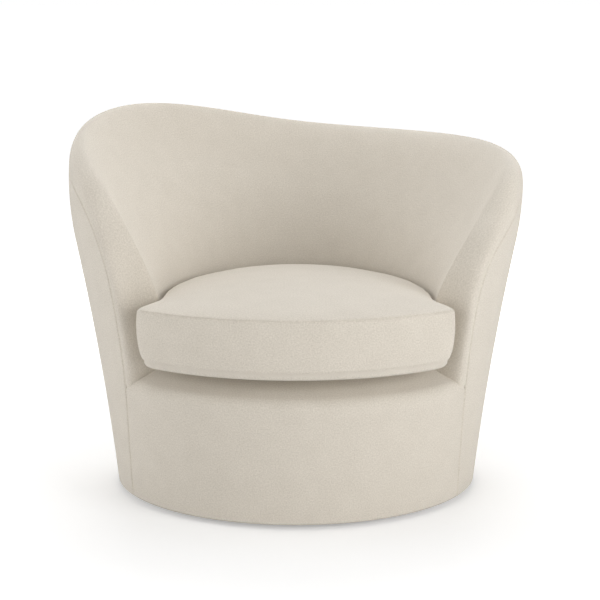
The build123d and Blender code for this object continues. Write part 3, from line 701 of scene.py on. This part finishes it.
@dataclass(frozen=True)
class SeatCushion:
    """Loose cushion with a crowned top, boxing between two seams and a flat underside.

    A pair of sizes is one at the lower seam and its growth up to the upper seam.
    """

    count: int = 420
    bottom: float = 0.2885
    low: float = 0.304
    high: float = 0.401
    crown: float = 0.030
    crown_power: float = 0.68
    clearance: float = 0.0075
    front: tuple[float, float] = (0.410, 0.017)
    half: tuple[float, float] = (0.2885, 0.0035)
    lower_draw: float = 0.004
    neck: float = 0.026
    back: float = 0.1845
    back_ends: tuple[float, float] = (60.0, 77.0)
    corner: float = 0.011
    lower_bend: float = 0.016
    puff_out: float = 0.0055
    puff_power: float = 0.6
    girth: float = 1.9
    seam_depth: tuple[float, float] = (0.62, 0.18)
    top_dip: float = 0.0014
    top_band: float = 0.042
    middle: tuple[float, float] = (0.0, -0.11)
    cell: float = 0.006
    passes: int = 2600

    def outline(self, share: float, inset: float = 0.0) -> Array:
        """Plan of the cushion's edge.

        Args:
            share: Share of the way up the boxing.
            inset: Distance inside the edge.

        Returns:
            Evenly spaced points round the plan.
        """
        gap = self.clearance + inset
        deep = INSIDE.back[0] - gap
        front = self.front[0] + self.front[1] * share - inset
        half = self.half[0] + self.half[1] * share - self.lower_draw * (1 - share) ** 8 - inset
        end = math.asin(half / front)
        sweep = np.linspace(-math.pi / 2, math.pi / 2, 400)
        side = np.where(sweep < 0, INSIDE.left[0], INSIDE.right[0]) - gap
        behind = np.stack([side * np.sin(sweep), INSIDE.middle + deep * np.cos(sweep)], axis=-1)
        behind = self._round_back(behind, self.back - inset)
        sweep = np.linspace(end, -end, 300)
        ahead = np.stack([front * np.sin(sweep), -front * np.cos(sweep)], axis=-1)
        necks = behind[[-1, 0]] - np.array([0.0, self.neck])
        line = np.concatenate([behind, necks[:1], ahead, necks[1:], behind[:1]])
        line = self._rounded(self._respace(line, 1600))
        return self._respace(np.concatenate([line, line[:1]]), self.count)

    def _round_back(self, line: Array, radius: float) -> Array:
        """Draw plan points behind the swivel axis in to one arc about it, which the zip follows.

        Args:
            line: Plan points.
            radius: Radius of the arc.

        Returns:
            The moved points.
        """
        reach = np.linalg.norm(line, axis=1)
        turn = np.degrees(np.abs(np.arctan2(line[:, 0], line[:, 1])))
        drawn = np.minimum(reach, radius) - reach
        return line * (1 + drawn * (1 - smooth_step(turn, *self.back_ends)) / reach)[:, None]

    @staticmethod
    def _respace(line: Array, count: int) -> Array:
        """Space points evenly.

        Args:
            line: Closed line whose last point repeats its first.
            count: Number of points wanted.

        Returns:
            The new points, without the repeated one.
        """
        along = np.r_[0, np.cumsum(np.linalg.norm(np.diff(line, axis=0), axis=1))]
        at = np.linspace(0, along[-1], count, endpoint=False)
        return np.stack([np.interp(at, along, line[:, i]) for i in range(2)], axis=-1)

    def _rounded(self, line: Array) -> Array:
        """Round the corners of a closed line of evenly spaced points by a running average."""
        step = float(np.linalg.norm(line[1] - line[0]))
        span = int(4 * self.corner / step)
        weight = np.exp(-0.5 * (np.arange(-span, span + 1) * step / self.corner) ** 2)
        weight /= weight.sum()
        longer = np.concatenate([line[-span:], line, line[:span]])
        return np.stack([np.convolve(longer[:, i], weight, mode="valid") for i in range(2)], axis=-1)

    def dome(self) -> Callable[[Array], Array]:
        """Solve the form of an evenly blown skin over the cushion's plan.

        Returns:
            A function from plan points to shares of the crown's height.
        """
        edge = self.outline(1.0)
        low, high = edge.min(axis=0) - 2 * self.cell, edge.max(axis=0) + 2 * self.cell
        count = np.ceil((high - low) / self.cell).astype(int) + 1
        xs, ys = (low[i] + np.arange(count[i]) * self.cell for i in range(2))
        inside = self._contains(edge, xs, ys)
        skin = np.zeros(inside.shape)
        for _ in range(self.passes):
            beside = np.roll(skin, 1, 0) + np.roll(skin, -1, 0) + np.roll(skin, 1, 1) + np.roll(skin, -1, 1)
            skin = np.where(inside, 0.25 * (beside + 1.0), 0.0)
        skin /= skin.max()

        def read(points: Array) -> Array:
            """Read the skin between its cells."""
            x, y = (np.clip((points[..., i] - low[i]) / self.cell, 0, count[i] - 1.001) for i in range(2))
            i, j = x.astype(int), y.astype(int)
            u, v = x - i, y - j
            lower = skin[i, j] * (1 - u) + skin[i + 1, j] * u
            upper = skin[i, j + 1] * (1 - u) + skin[i + 1, j + 1] * u
            return lower * (1 - v) + upper * v

        return read

    @staticmethod
    def _contains(edge: Array, xs: Array, ys: Array) -> Array:
        """Find the grid points inside a closed line, by counting crossings.

        Args:
            edge: Points of the line.
            xs: Places of the grid's columns.
            ys: Places of its rows.

        Returns:
            Truth for each grid point.
        """
        x, y = np.meshgrid(xs, ys, indexing="ij")
        inside = np.zeros(x.shape, bool)
        following = np.roll(edge, -1, axis=0)
        for (ax, ay), (bx, by) in zip(edge, following):
            crosses = (ay > y) != (by > y)
            if by != ay:
                inside ^= crosses & (x < (bx - ax) * (y - ay) / (by - ay) + ax)
        return inside

    @staticmethod
    def _ring(plan: Array, height: Array | float, weave: Array) -> Ring:
        """One ring of points at a height, with its cloth coordinates."""
        level = np.broadcast_to(height, len(plan))
        return np.concatenate([plan, level[:, None]], axis=1), weave

    def _underside(self) -> list[Ring]:
        """Rings from the middle of the underside out and up to the lower seam."""
        middle = np.array(self.middle)
        seam, flat = self.outline(0.0), self.outline(0.0, self.lower_bend)
        rings = []
        for scale in (0.0, 0.3, 0.6, 0.85, 0.96, 1.0):
            plan = middle + (flat - middle) * scale
            rings.append(self._ring(plan, self.bottom, plan))
        for turn in (0.25, 0.5, 0.75):
            plan = flat + (seam - flat) * math.sin(turn * math.pi / 2)
            height = self.bottom + (self.low - self.bottom) * (1 - math.cos(turn * math.pi / 2))
            rings.append(self._ring(plan, height, plan))
        return rings

    def _boxing(self) -> list[Ring]:
        """Rings up the boxing, from the lower seam to the upper."""
        edge = SewnEdge()
        rise = self.high - self.low
        near = np.array(edge.rows[:8]) / rise
        shares = np.concatenate([near, np.linspace(near[-1], 1 - near[-1], 9)[1:-1], 1 - near[::-1]])
        length = np.linspace(0, self.girth, self.count)
        rings = []
        for share in shares:
            plan = self.outline(share)
            depth = edge.depth * (self.seam_depth[0] + self.seam_depth[1] * share)
            sunk = groove(np.array(min(share, 1 - share) * rise), depth, edge.width)
            plan = plan + self._normals(plan) * (self.puff(share) - float(sunk))
            weave = np.stack([length, np.full(self.count, share * rise)], axis=-1)
            rings.append(self._ring(plan, self.low + share * rise, weave))
        return rings

    def _top(self) -> list[Ring]:
        """Rings from the upper seam in to the middle of the crown."""
        edge = SewnEdge()
        dome = self.dome()
        middle = np.array(self.middle)
        seam = self.outline(1.0)
        gaps = [*edge.rows[1:], self.top_band]
        plans = [seam - self._normals(seam) * gap for gap in gaps]
        scales = np.linspace(1, 0, 24)[1:]
        plans += [middle + (plans[-1] - middle) * scale for scale in scales]
        gaps += [1.0] * len(scales)
        rings = []
        for plan, gap in zip(plans, gaps):
            swell = self.crown * np.clip(dome(plan), 0, 1) ** self.crown_power
            height = self.high + swell - float(groove(np.array(gap), self.top_dip, edge.width))
            rings.append(self._ring(plan, height, plan))
        return rings

    def puff(self, share: float) -> float:
        """How far the boxing stands out at a share of its height."""
        return self.puff_out * max(math.sin(math.pi * share), 0.0) ** self.puff_power

    @staticmethod
    def _normals(plan: Array) -> Array:
        """Outward directions along a closed plan line."""
        run = np.roll(plan, -1, axis=0) - np.roll(plan, 1, axis=0)
        normal = np.stack([-run[:, 1], run[:, 0]], axis=-1)
        normal /= np.linalg.norm(normal, axis=1, keepdims=True)
        return normal if np.sum(normal * (plan - plan.mean(axis=0))) > 0 else -normal

    def build(self) -> bpy.types.Object:
        """Make the cushion from its underside up to its crown."""
        rings, weaves = zip(*self._underside(), *self._boxing(), *self._top())
        cloth = Cloth("seat_cushion_cloth")
        cloth.grid(np.array(rings), np.array(weaves), ring=True)
        return cloth.build(lambda p: p - Vector((0.0, -0.07, 0.35)), levels=0)


class Blocks:
    """Small rounded blocks in one mesh, each set square to the swivel axis."""

    def __init__(self, name: str) -> None:
        """Start an empty mesh for a piece of the given name."""
        self.name = name
        self._mesh = bmesh.new()

    def add(
        self, turn: float, radius: float, height: float, size: tuple[float, float, float], bevel: float
    ) -> None:
        """Add a block.

        Args:
            turn: Turn of its middle from the middle of the back, in radians.
            radius: Distance of its middle from the swivel axis.
            height: Height of its middle.
            size: Its size along the arc, across it and upwards.
            bevel: Width of its rounded edges.
        """
        sine, cosine = math.sin(turn), math.cos(turn)
        place = Matrix((
            (cosine * size[0], sine * size[1], 0.0, radius * sine),
            (-sine * size[0], cosine * size[1], 0.0, radius * cosine),
            (0.0, 0.0, size[2], height),
            (0.0, 0.0, 0.0, 1.0),
        ))
        made = bmesh.ops.create_cube(self._mesh, size=1.0, matrix=place)["verts"]
        edges = list({edge for vertex in made for edge in vertex.link_edges})
        bmesh.ops.bevel(self._mesh, geom=edges, offset=bevel, segments=2, affect="EDGES", profile=0.5)

    def build(self) -> bpy.types.Object:
        """Make the object."""
        return made_piece(self.name, self._mesh)


@dataclass(frozen=True)
class Zip:
    """Zip in the boxing at the cushion's back, on one arc about the swivel axis."""

    low: float = 0.3405
    high: float = 0.3645
    half_turn: float = math.radians(58.0)
    slider_turn: float = math.radians(54.0)
    tape_lift: float = 0.0009
    tooth: tuple[float, float, float] = (0.0021, 0.0016, 0.0040)
    tooth_shift: float = 0.0011
    pitch: float = 0.0015

    @property
    def middle(self) -> float:
        """Height of the row of teeth."""
        return (self.low + self.high) / 2

    def surface(self, height: float) -> float:
        """Radius of the boxing behind the tape."""
        cushion = SeatCushion()
        return cushion.back + cushion.puff((height - cushion.low) / (cushion.high - cushion.low))

    def tape(self) -> bpy.types.Object:
        """Two woven tapes that meet under the teeth, with a sewn line near each long edge."""
        inner = (self.high - self.low) * 0.4
        half = [(0.0, -0.001), (0.0, self.tape_lift), (0.0022, self.tape_lift)]
        half += [(0.0028, self.tape_lift - 0.0006), (0.0034, self.tape_lift), (inner, self.tape_lift)]
        section = [(self.low + step, lift) for step, lift in half]
        section += [(self.high - step, lift) for step, lift in half[::-1]]
        turn = np.linspace(-self.half_turn, self.half_turn, 90)
        radius = np.array([self.surface(height) + lift for height, lift in section])[:, None]
        height = np.array([height for height, _ in section])[:, None] + 0 * turn
        cloth = Cloth("cushion_zip_tape")
        cloth.grid(around(radius, turn, height), np.stack([radius * turn, height], axis=-1))
        return cloth.build(lambda p: Vector((p.x, p.y, 0.0)), levels=0)

    def teeth(self) -> bpy.types.Object:
        """Moulded teeth, by turns from the upper and the lower tape."""
        blocks = Blocks("cushion_zip_teeth")
        radius = self.surface(self.middle) + self.tape_lift + self.tooth[1] / 2 - 0.0003
        count = int(2 * self.half_turn * radius / self.pitch)
        for i, turn in enumerate(np.linspace(-self.half_turn, self.half_turn, count)[2:-2]):
            offset = self.tooth_shift if i % 2 else -self.tooth_shift
            blocks.add(float(turn), radius, self.middle + offset, self.tooth, 0.0003)
        return blocks.build()

    def slider(self) -> bpy.types.Object:
        """Slider at the zip's right end: plate, wings, bridge, and a pull that lies along the teeth."""
        blocks = Blocks("zip_slider_body")
        face = self.surface(self.middle) + self.tape_lift
        parts = {
            "plate": (0.0, 0.0018, (0.0130, 0.0026, 0.0090), 0.0008),
            "wings": (0.018, 0.0018, (0.0080, 0.0024, 0.0104), 0.0007),
            "bridge": (0.0, 0.0036, (0.0070, 0.0016, 0.0032), 0.0006),
            "pull": (-0.062, 0.0030, (0.0190, 0.0010, 0.0050), 0.0004),
        }
        for ahead, lift, size, bevel in parts.values():
            blocks.add(self.slider_turn + ahead, face + lift, self.middle, size, bevel)
        return blocks.build()


@dataclass(frozen=True)
class DustSheet:
    """Thin felt stapled under the base board, round the bearing."""

    inner: float = 0.1325
    outer: float = 0.3075
    height: float = 0.0466
    sag: float = 0.0022
    staples: int = 40
    staple: tuple[float, float, float] = (0.0110, 0.0012, 0.0008)
    margin: float = 0.006

    def cloth(self) -> bpy.types.Object:
        """The sheet, which sags a little between its two stapled edges."""
        share = np.linspace(0, 1, 12)[:, None]
        turn = np.linspace(0, 2 * math.pi, 160, endpoint=False)
        radius = self.inner + (self.outer - self.inner) * share + 0 * turn
        waves = 0.8 + 0.2 * np.sin(7 * turn) + 0.12 * np.sin(self.staples * turn) * share
        height = self.height - self.sag * np.sin(math.pi * share) ** 2 * waves
        points = around(radius, turn, height)
        cloth = Cloth("dust_sheet")
        cloth.grid(points, points[..., :2], ring=True)
        return cloth.build(lambda p: Vector((0.0, 0.0, -1.0)), levels=0)

    def fixings(self) -> bpy.types.Object:
        """Staples along the outer edge."""
        blocks = Blocks("dust_staples")
        for turn in np.linspace(0, 2 * math.pi, self.staples, endpoint=False):
            blocks.add(float(turn), self.outer - self.margin, self.height - 0.0005, self.staple, 0.0002)
        return blocks.build()


class Wire:
    """A shader output that builds maths nodes with the usual operators."""

    def __init__(self, graph: "Graph", socket: bpy.types.NodeSocket) -> None:
        """Wrap a socket of a graph."""
        self.graph = graph
        self.socket = socket

    def __add__(self, other: Operand) -> "Wire":
        """Sum."""
        return self.graph.math("ADD", self, other)

    def __radd__(self, other: float) -> "Wire":
        """Sum, number first."""
        return self.graph.math("ADD", other, self)

    def __sub__(self, other: Operand) -> "Wire":
        """Difference."""
        return self.graph.math("SUBTRACT", self, other)

    def __rsub__(self, other: float) -> "Wire":
        """Difference, number first."""
        return self.graph.math("SUBTRACT", other, self)

    def __mul__(self, other: Operand) -> "Wire":
        """Product."""
        return self.graph.math("MULTIPLY", self, other)

    def __rmul__(self, other: float) -> "Wire":
        """Product, number first."""
        return self.graph.math("MULTIPLY", other, self)

    def __truediv__(self, other: Operand) -> "Wire":
        """Quotient."""
        return self.graph.math("DIVIDE", self, other)

    def __rtruediv__(self, other: float) -> "Wire":
        """Quotient, number first."""
        return self.graph.math("DIVIDE", other, self)

    def __mod__(self, other: Operand) -> "Wire":
        """Rest of a division, never negative."""
        return self.graph.math("FLOORED_MODULO", self, other)

    def __rmod__(self, other: float) -> "Wire":
        """Rest of a division, number first."""
        return self.graph.math("FLOORED_MODULO", other, self)

    def floor(self) -> "Wire":
        """Whole part below."""
        return self.graph.math("FLOOR", self)

    def sine(self) -> "Wire":
        """Sine, in radians."""
        return self.graph.math("SINE", self)


class Graph:
    """A node tree with the shader at its end."""

    def __init__(self, tree: bpy.types.NodeTree, shader: bpy.types.Node) -> None:
        """Take over a tree whose last shader is given."""
        self.tree = tree
        self.shader = shader
        self.material: Optional[bpy.types.Material] = None

    @classmethod
    def of_material(cls, name: str) -> "Graph":
        """The tree of a new material."""
        material = bpy.data.materials.new(name)
        material.use_nodes = True
        graph = cls(material.node_tree, material.node_tree.nodes["Principled BSDF"])
        graph.material = material
        return graph

    def seen(self) -> "Wire":
        """1 where the camera sees the surface, straight or in gloss or glass."""
        rays = [self.node("LightPath", out=f"Is {kind} Ray") for kind in ("Camera", "Glossy", "Transmission")]
        return self.math("MINIMUM", rays[0] + rays[1] + rays[2], 1.0)

    def node(
        self, kind: str, out: Union[str, int] = 0, options: Optional[dict] = None, **inputs: object
    ) -> Wire:
        """Make any node.

        Args:
            kind: Node type without its ShaderNode prefix.
            out: Output to return.
            options: Properties of the node.
            inputs: Values or wires for its inputs, by name with _ for a space, or iN for input N.

        Returns:
            The chosen output.
        """
        made = self.tree.nodes.new("ShaderNode" + kind)
        for key, value in (options or {}).items():
            setattr(made, key, value)
        for key, value in inputs.items():
            numbered = key[0] == "i" and key[1:].isdigit()
            self.feed(made.inputs[int(key[1:]) if numbered else key.replace("_", " ")], value)
        return Wire(self, made.outputs[out])

    def feed(self, place: bpy.types.NodeSocket, value: object) -> None:
        """Set an input, or link it.

        Args:
            place: The input.
            value: A wire to link, or else a value.
        """
        if isinstance(value, Wire):
            self.tree.links.new(value.socket, place)
        else:
            place.default_value = value

    def math(self, operation: str, *values: Operand) -> Wire:
        """A maths node."""
        places = {f"i{i}": value for i, value in enumerate(values)}
        return self.node("Math", options={"operation": operation}, **places)

    def vector(self, x: Operand, y: Operand, z: Operand = 0.0) -> Wire:
        """A vector from three numbers."""
        return self.node("CombineXYZ", X=x, Y=y, Z=z)

    def noise(self, at: Wire, scale: float, detail: float = 2.0, roughness: float = 0.5) -> Wire:
        """Smooth noise from 0 to 1."""
        return self.node("TexNoise", Vector=at, Scale=scale, Detail=detail, Roughness=roughness)

    def mix(self, share: Operand, a: object, b: object, colour: bool = False) -> Wire:
        """Blend two numbers or two colours.

        Args:
            share: Share of the second.
            a: The first.
            b: The second.
            colour: Whether they are colours.

        Returns:
            The blend.
        """
        options = {"data_type": "RGBA" if colour else "FLOAT"}
        first, second, out = (6, 7, 2) if colour else (2, 3, 0)
        return self.node("Mix", out=out, options=options, **{"i0": share, f"i{first}": a, f"i{second}": b})

    def colour(self, share: Operand, dark: Sequence[float], light: Sequence[float]) -> Wire:
        """Blend of two colours without alpha."""
        return self.mix(share, (*dark, 1.0), (*light, 1.0), colour=True)

    def bump(self, height: Wire, distance: float, strength: float = 1.0) -> Wire:
        """Normal bent by a height."""
        return self.node("Bump", Strength=strength, Distance=distance, Height=height)

    def finish(self, **inputs: object) -> bpy.types.Material:
        """Feed the surface shader and return the material."""
        for key, value in inputs.items():
            self.feed(self.shader.inputs[key.replace("_", " ")], value)
        return self.material


@dataclass(frozen=True)
class Weave:
    """A plain woven cloth."""

    name: str
    dark: tuple[float, float, float]
    light: tuple[float, float, float]
    pitch: float = 0.0011
    sheen: float = 0.25
    yarn_share: float = 0.45
    heather_share: float = 1.15
    cloud_share: float = 0.18
    tone_shift: float = -0.42
    yarn_scale: float = 90.0
    heather_scale: float = 340.0
    cloud_scale: float = 22.0
    relief: float = 0.0004

    def material(self) -> bpy.types.Material:
        """Node material: two sets of yarns, uneven dye along each yarn, and the weave's relief, which also
        darkens the colour towards each yarn's edges as painted shade.
        """
        g = Graph.of_material(self.name)
        uv = g.node("UVMap", options={"uv_map": "weave"})
        split = g.node("SeparateXYZ", Vector=uv).socket.node
        u, v = Wire(g, split.outputs[0]), Wire(g, split.outputs[1])
        across, along = u / self.pitch, v / self.pitch
        odd = (across.floor() + along.floor()) % 2.0
        warp = ((across % 1.0) * math.pi).sine()
        weft = ((along % 1.0) * math.pi).sine()
        relief = g.mix(odd, warp, weft)
        warp_dye = g.noise(g.vector(across.floor() * 0.37, v * self.yarn_scale), 3.0)
        weft_dye = g.noise(g.vector(u * self.yarn_scale, along.floor() * 0.41, 7.0), 3.0)
        heather = g.noise(g.vector(u, v), self.heather_scale, 3.0, 0.65)
        cloud = g.noise(g.vector(u, v, 3.0), self.cloud_scale, 2.0)
        tone = g.mix(odd, warp_dye, weft_dye) * self.yarn_share + heather * self.heather_share
        tone = tone + cloud * self.cloud_share + self.tone_shift
        # Painted shade: the tone is scaled by the weave's relief, so it is darker towards each yarn's edges
        # and a little lighter on its crown
        shade = tone * (relief * 0.25 + 0.80)
        tint = g.colour(shade, self.dark, self.light)
        lumps = relief * 0.7 + heather * 0.9
        return g.finish(
            Base_Color=tint,
            Roughness=0.9 - tone * 0.1,
            Normal=g.bump(lumps, self.relief, 0.55),
            Sheen_Weight=self.sheen,
            Sheen_Roughness=0.5,
            Specular_IOR_Level=0.25,
        )


@dataclass(frozen=True)
class Plain:
    """A finish for the hidden frame: two tones, speckle or grain, and a little relief."""

    name: str
    dark: tuple[float, float, float]
    light: tuple[float, float, float]
    roughness: float
    stretch: tuple[float, float, float] = (1.0, 1.0, 1.0)
    scale: float = 60.0
    metallic: float = 0.0
    relief: float = 0.0002

    def material(self) -> bpy.types.Material:
        """Node material in the object's own space."""
        g = Graph.of_material(self.name)
        place = g.node("TexCoord", out="Object")
        stretched = g.node("Mapping", Vector=place, Scale=self.stretch)
        grain = g.noise(stretched, self.scale, 5.0, 0.6)
        fine = g.noise(place, self.scale * 9.0, 2.0)
        mixed = grain * 0.8 + fine * 0.3 - 0.05
        return g.finish(
            Base_Color=g.colour(mixed, self.dark, self.light),
            Roughness=(fine - 0.5) * 0.2 + self.roughness,
            Metallic=self.metallic,
            Normal=g.bump(mixed, self.relief, 0.5),
        )


UPHOLSTERY = Weave("cloth_oatmeal", (0.52, 0.470, 0.395), (0.848, 0.790, 0.698))
DECK_CLOTH = Weave("cloth_deck", (0.50, 0.47, 0.42), (0.76, 0.72, 0.66), pitch=0.0009, sheen=0.1)
FINISHES: dict[str, Plain] = {
    "foam": Plain("foam_block", (0.70, 0.60, 0.36), (0.86, 0.78, 0.55), 0.95, scale=400.0),
    "plywood": Plain("plywood_birch", (0.46, 0.30, 0.16), (0.76, 0.58, 0.38), 0.6, (1.0, 1.0, 9.0), 24.0),
    "liner_board": Plain("fibre_board", (0.30, 0.21, 0.13), (0.46, 0.35, 0.23), 0.85, scale=180.0),
    "black_steel": Plain("steel_black", (0.010, 0.010, 0.011), (0.030, 0.030, 0.032), 0.45, scale=700.0),
    "zinc_steel": Plain("zinc", (0.38, 0.38, 0.36), (0.62, 0.62, 0.60), 0.35, scale=120.0, metallic=1.0),
    "nylon": Plain("nylon_black", (0.012, 0.012, 0.012), (0.030, 0.030, 0.030), 0.5, scale=300.0),
    "webbing": Plain("webbing_black", (0.015, 0.015, 0.015), (0.060, 0.060, 0.060), 0.85, scale=500.0),
    "dust_cloth": Plain("felt_black", (0.008, 0.008, 0.008), (0.030, 0.030, 0.030), 0.95, scale=600.0),
    "zip_tape": Plain("zip_tape", (0.42, 0.38, 0.32), (0.66, 0.61, 0.54), 0.8, scale=700.0),
    "zip_metal": Plain("zip_metal", (0.45, 0.43, 0.38), (0.66, 0.64, 0.58), 0.3, scale=200.0, metallic=1.0),
}


@dataclass(frozen=True)
class Lamp:
    """A square soft light aimed at the chair."""

    name: str
    place: tuple[float, float, float]
    size: float
    power: float
    target: tuple[float, float, float] = (0.0, -0.05, 0.38)

    def build(self) -> None:
        """Make the light."""
        data = bpy.data.lights.new(self.name, "AREA")
        data.energy = self.power
        data.size = self.size
        lamp = bpy.data.objects.new(self.name, data)
        lamp.location = self.place
        lamp.rotation_euler = (Vector(self.target) - Vector(self.place)).to_track_quat("-Z", "Y").to_euler()
        bpy.context.scene.collection.objects.link(lamp)


LAMPS = (
    Lamp("key", (2.6, -2.3, 1.0), 2.0, 72.0),
    Lamp("fill", (-2.3, -2.8, 1.1), 2.2, 46.0),
    Lamp("left", (-3.0, 0.3, 1.1), 2.2, 29.0),
    Lamp("right", (3.0, 0.3, 1.1), 2.2, 15.0),
    Lamp("top", (0.0, -0.1, 3.2), 2.4, 34.0),
    Lamp("back", (0.0, 2.2, 2.6), 2.4, 54.0),
)


@dataclass(frozen=True)
class Studio:
    """Floor, lights, world and camera of a plain white studio."""

    lamps: tuple[Lamp, ...] = LAMPS
    sky: float = 0.08
    near_glow: float = 0.32
    far_glow: float = 1.05
    glow_spread: tuple[float, float] = (0.6, 3.5)
    floor_half: float = 400.0
    lens: float = 98.5
    camera_place: tuple[float, float, float] = (0.0079, -3.240, 0.951)
    camera_dip: float = 10.29

    def build(self) -> None:
        """Make everything that isn't part of the object."""
        self._floor()
        self._world()
        for lamp in self.lamps:
            lamp.build()
        self._camera()

    def _floor(self) -> None:
        """White floor: it takes the chair's shadow, and its glow is seen but lights nothing."""
        data = bpy.data.meshes.new("floor")
        half = self.floor_half
        corners = [(-half, -half, 0), (half, -half, 0), (half, half, 0), (-half, half, 0)]
        data.from_pydata(corners, [], [(0, 1, 2, 3)])
        floor = bpy.data.objects.new("floor", data)
        bpy.context.scene.collection.objects.link(floor)
        g = Graph.of_material("floor_white")
        place = g.node("TexCoord", out="Object")
        far = g.node("VectorMath", out="Value", options={"operation": "LENGTH"}, i0=place)
        near, distant = self.glow_spread
        spread = g.node(
            "MapRange", Value=far, From_Min=near, From_Max=distant, To_Min=self.near_glow, To_Max=self.far_glow
        )
        glow = g.colour(g.seen() * spread, (0.0, 0.0, 0.0), (1.0, 1.0, 1.0))
        look = g.finish(
            Base_Color=(0.80, 0.80, 0.80, 1.0),
            Roughness=0.9,
            Emission_Color=glow,
            Emission_Strength=1.0,
            Specular_IOR_Level=0.0,
        )
        data.materials.append(look)

    def _world(self) -> None:
        """Even light from all round, seen as white."""
        world = bpy.data.worlds.new("studio")
        world.use_nodes = True
        g = Graph(world.node_tree, world.node_tree.nodes["Background"])
        g.feed(g.shader.inputs["Color"], g.colour(g.seen(), (self.sky,) * 3, (1.0, 1.0, 1.0)))
        bpy.context.scene.world = world

    def _camera(self) -> None:
        """Camera at the height, distance and lens of the picture."""
        data = bpy.data.cameras.new("camera")
        data.lens = self.lens
        data.sensor_width = 36.0
        camera = bpy.data.objects.new("camera", data)
        camera.location = self.camera_place
        camera.rotation_euler = (math.radians(90 - self.camera_dip), 0.0, 0.0)
        bpy.context.scene.collection.objects.link(camera)
        bpy.context.scene.camera = camera


class Chair:
    """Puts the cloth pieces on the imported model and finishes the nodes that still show."""

    def __init__(self, frame: dict) -> None:
        """Take the loaded frame and make the plain finishes."""
        self.nodes: dict[str, bpy.types.Object] = frame["nodes"]
        self.slots = {part["node"]: part["material_slot"] for part in frame["record"]["subparts"]}
        self.looks = {slot: finish.material() for slot, finish in FINISHES.items()}

    def dress(self) -> None:
        """Make the soft pieces, the zip and the dust sheet, and finish the rest."""
        cloth = UPHOLSTERY.material()
        self._shell(cloth)
        cushion = SeatCushion().build()
        self._place(cushion, Body.CUSHION, Slot.CLOTH, cloth, ["cushion_cover", "cushion_core"])
        self._zip()
        self._underside()
        self._finish_nodes()

    def _shell(self, cloth: bpy.types.Material) -> None:
        """Cloth of the shell."""
        upholstery = Upholstery()
        outside = upholstery.outside()
        self._place(outside, Body.CHAIR, Slot.CLOTH, cloth, ["outside_cover"])
        upholstery.outside_area()
        inside = upholstery.roll_and_inside()
        paddings = ["left_arm_padding", "back_padding", "right_arm_padding"]
        self._place(inside, Body.CHAIR, Slot.CLOTH, cloth, ["rim_roll", "inside_cover", *paddings])
        front = upholstery.front()
        self._place(front, Body.CHAIR, Slot.CLOTH, cloth, ["front_cover", "front_padding"])
        deck = upholstery.deck()
        self._place(deck, Body.CHAIR, Slot.DECK, DECK_CLOTH.material(), ["deck_cover", "deck_pad"])

    def _zip(self) -> None:
        """Zip on the cushion's back, with its slider on its own body."""
        closing = Zip()
        tape, metal = self.looks[Slot.TAPE.value], self.looks[Slot.METAL.value]
        self._place(closing.tape(), Body.CUSHION, Slot.TAPE, tape, ["cushion_zip"])
        self._place(closing.teeth(), Body.CUSHION, Slot.METAL, metal, [])
        self._place(closing.slider(), Body.SLIDER, Slot.METAL, metal, ["zip_slider"])

    def _underside(self) -> None:
        """Dust sheet under the base board."""
        dust = DustSheet()
        sheet = dust.cloth()
        self._place(sheet, Body.CHAIR, Slot.DUST, self.looks[Slot.DUST.value], ["dust_cover"])
        self._place(dust.fixings(), Body.CHAIR, Slot.METAL, self.looks[Slot.METAL.value], [])

    @staticmethod
    def _place(
        piece: bpy.types.Object, body: Body, slot: Slot, material: bpy.types.Material, nodes: Sequence[str]
    ) -> None:
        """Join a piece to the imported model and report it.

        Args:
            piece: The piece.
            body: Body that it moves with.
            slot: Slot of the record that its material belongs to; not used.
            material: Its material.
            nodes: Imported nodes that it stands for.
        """
        piece.data.materials.append(material)
        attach(piece, body.value)
        if nodes:
            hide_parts(*nodes)
        LOG.info("%s rides %s, %d faces", piece.name, body.value, len(piece.data.polygons))

    def _finish_nodes(self) -> None:
        """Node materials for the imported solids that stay."""
        for name, node in self.nodes.items():
            material = self.looks.get(self.slots[name])
            if material is not None:
                node.data.materials.clear()
                node.data.materials.append(material)


def main() -> None:
    """Load the frame, dress the chair and set the studio."""
    logging.basicConfig(level=logging.INFO)
    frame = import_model()
    bpy.context.scene.view_settings.view_transform = "Standard"
    Chair(frame).dress()
    Studio().build()
    bpy.context.view_layer.update()


if __name__ == "__main__":
    main()
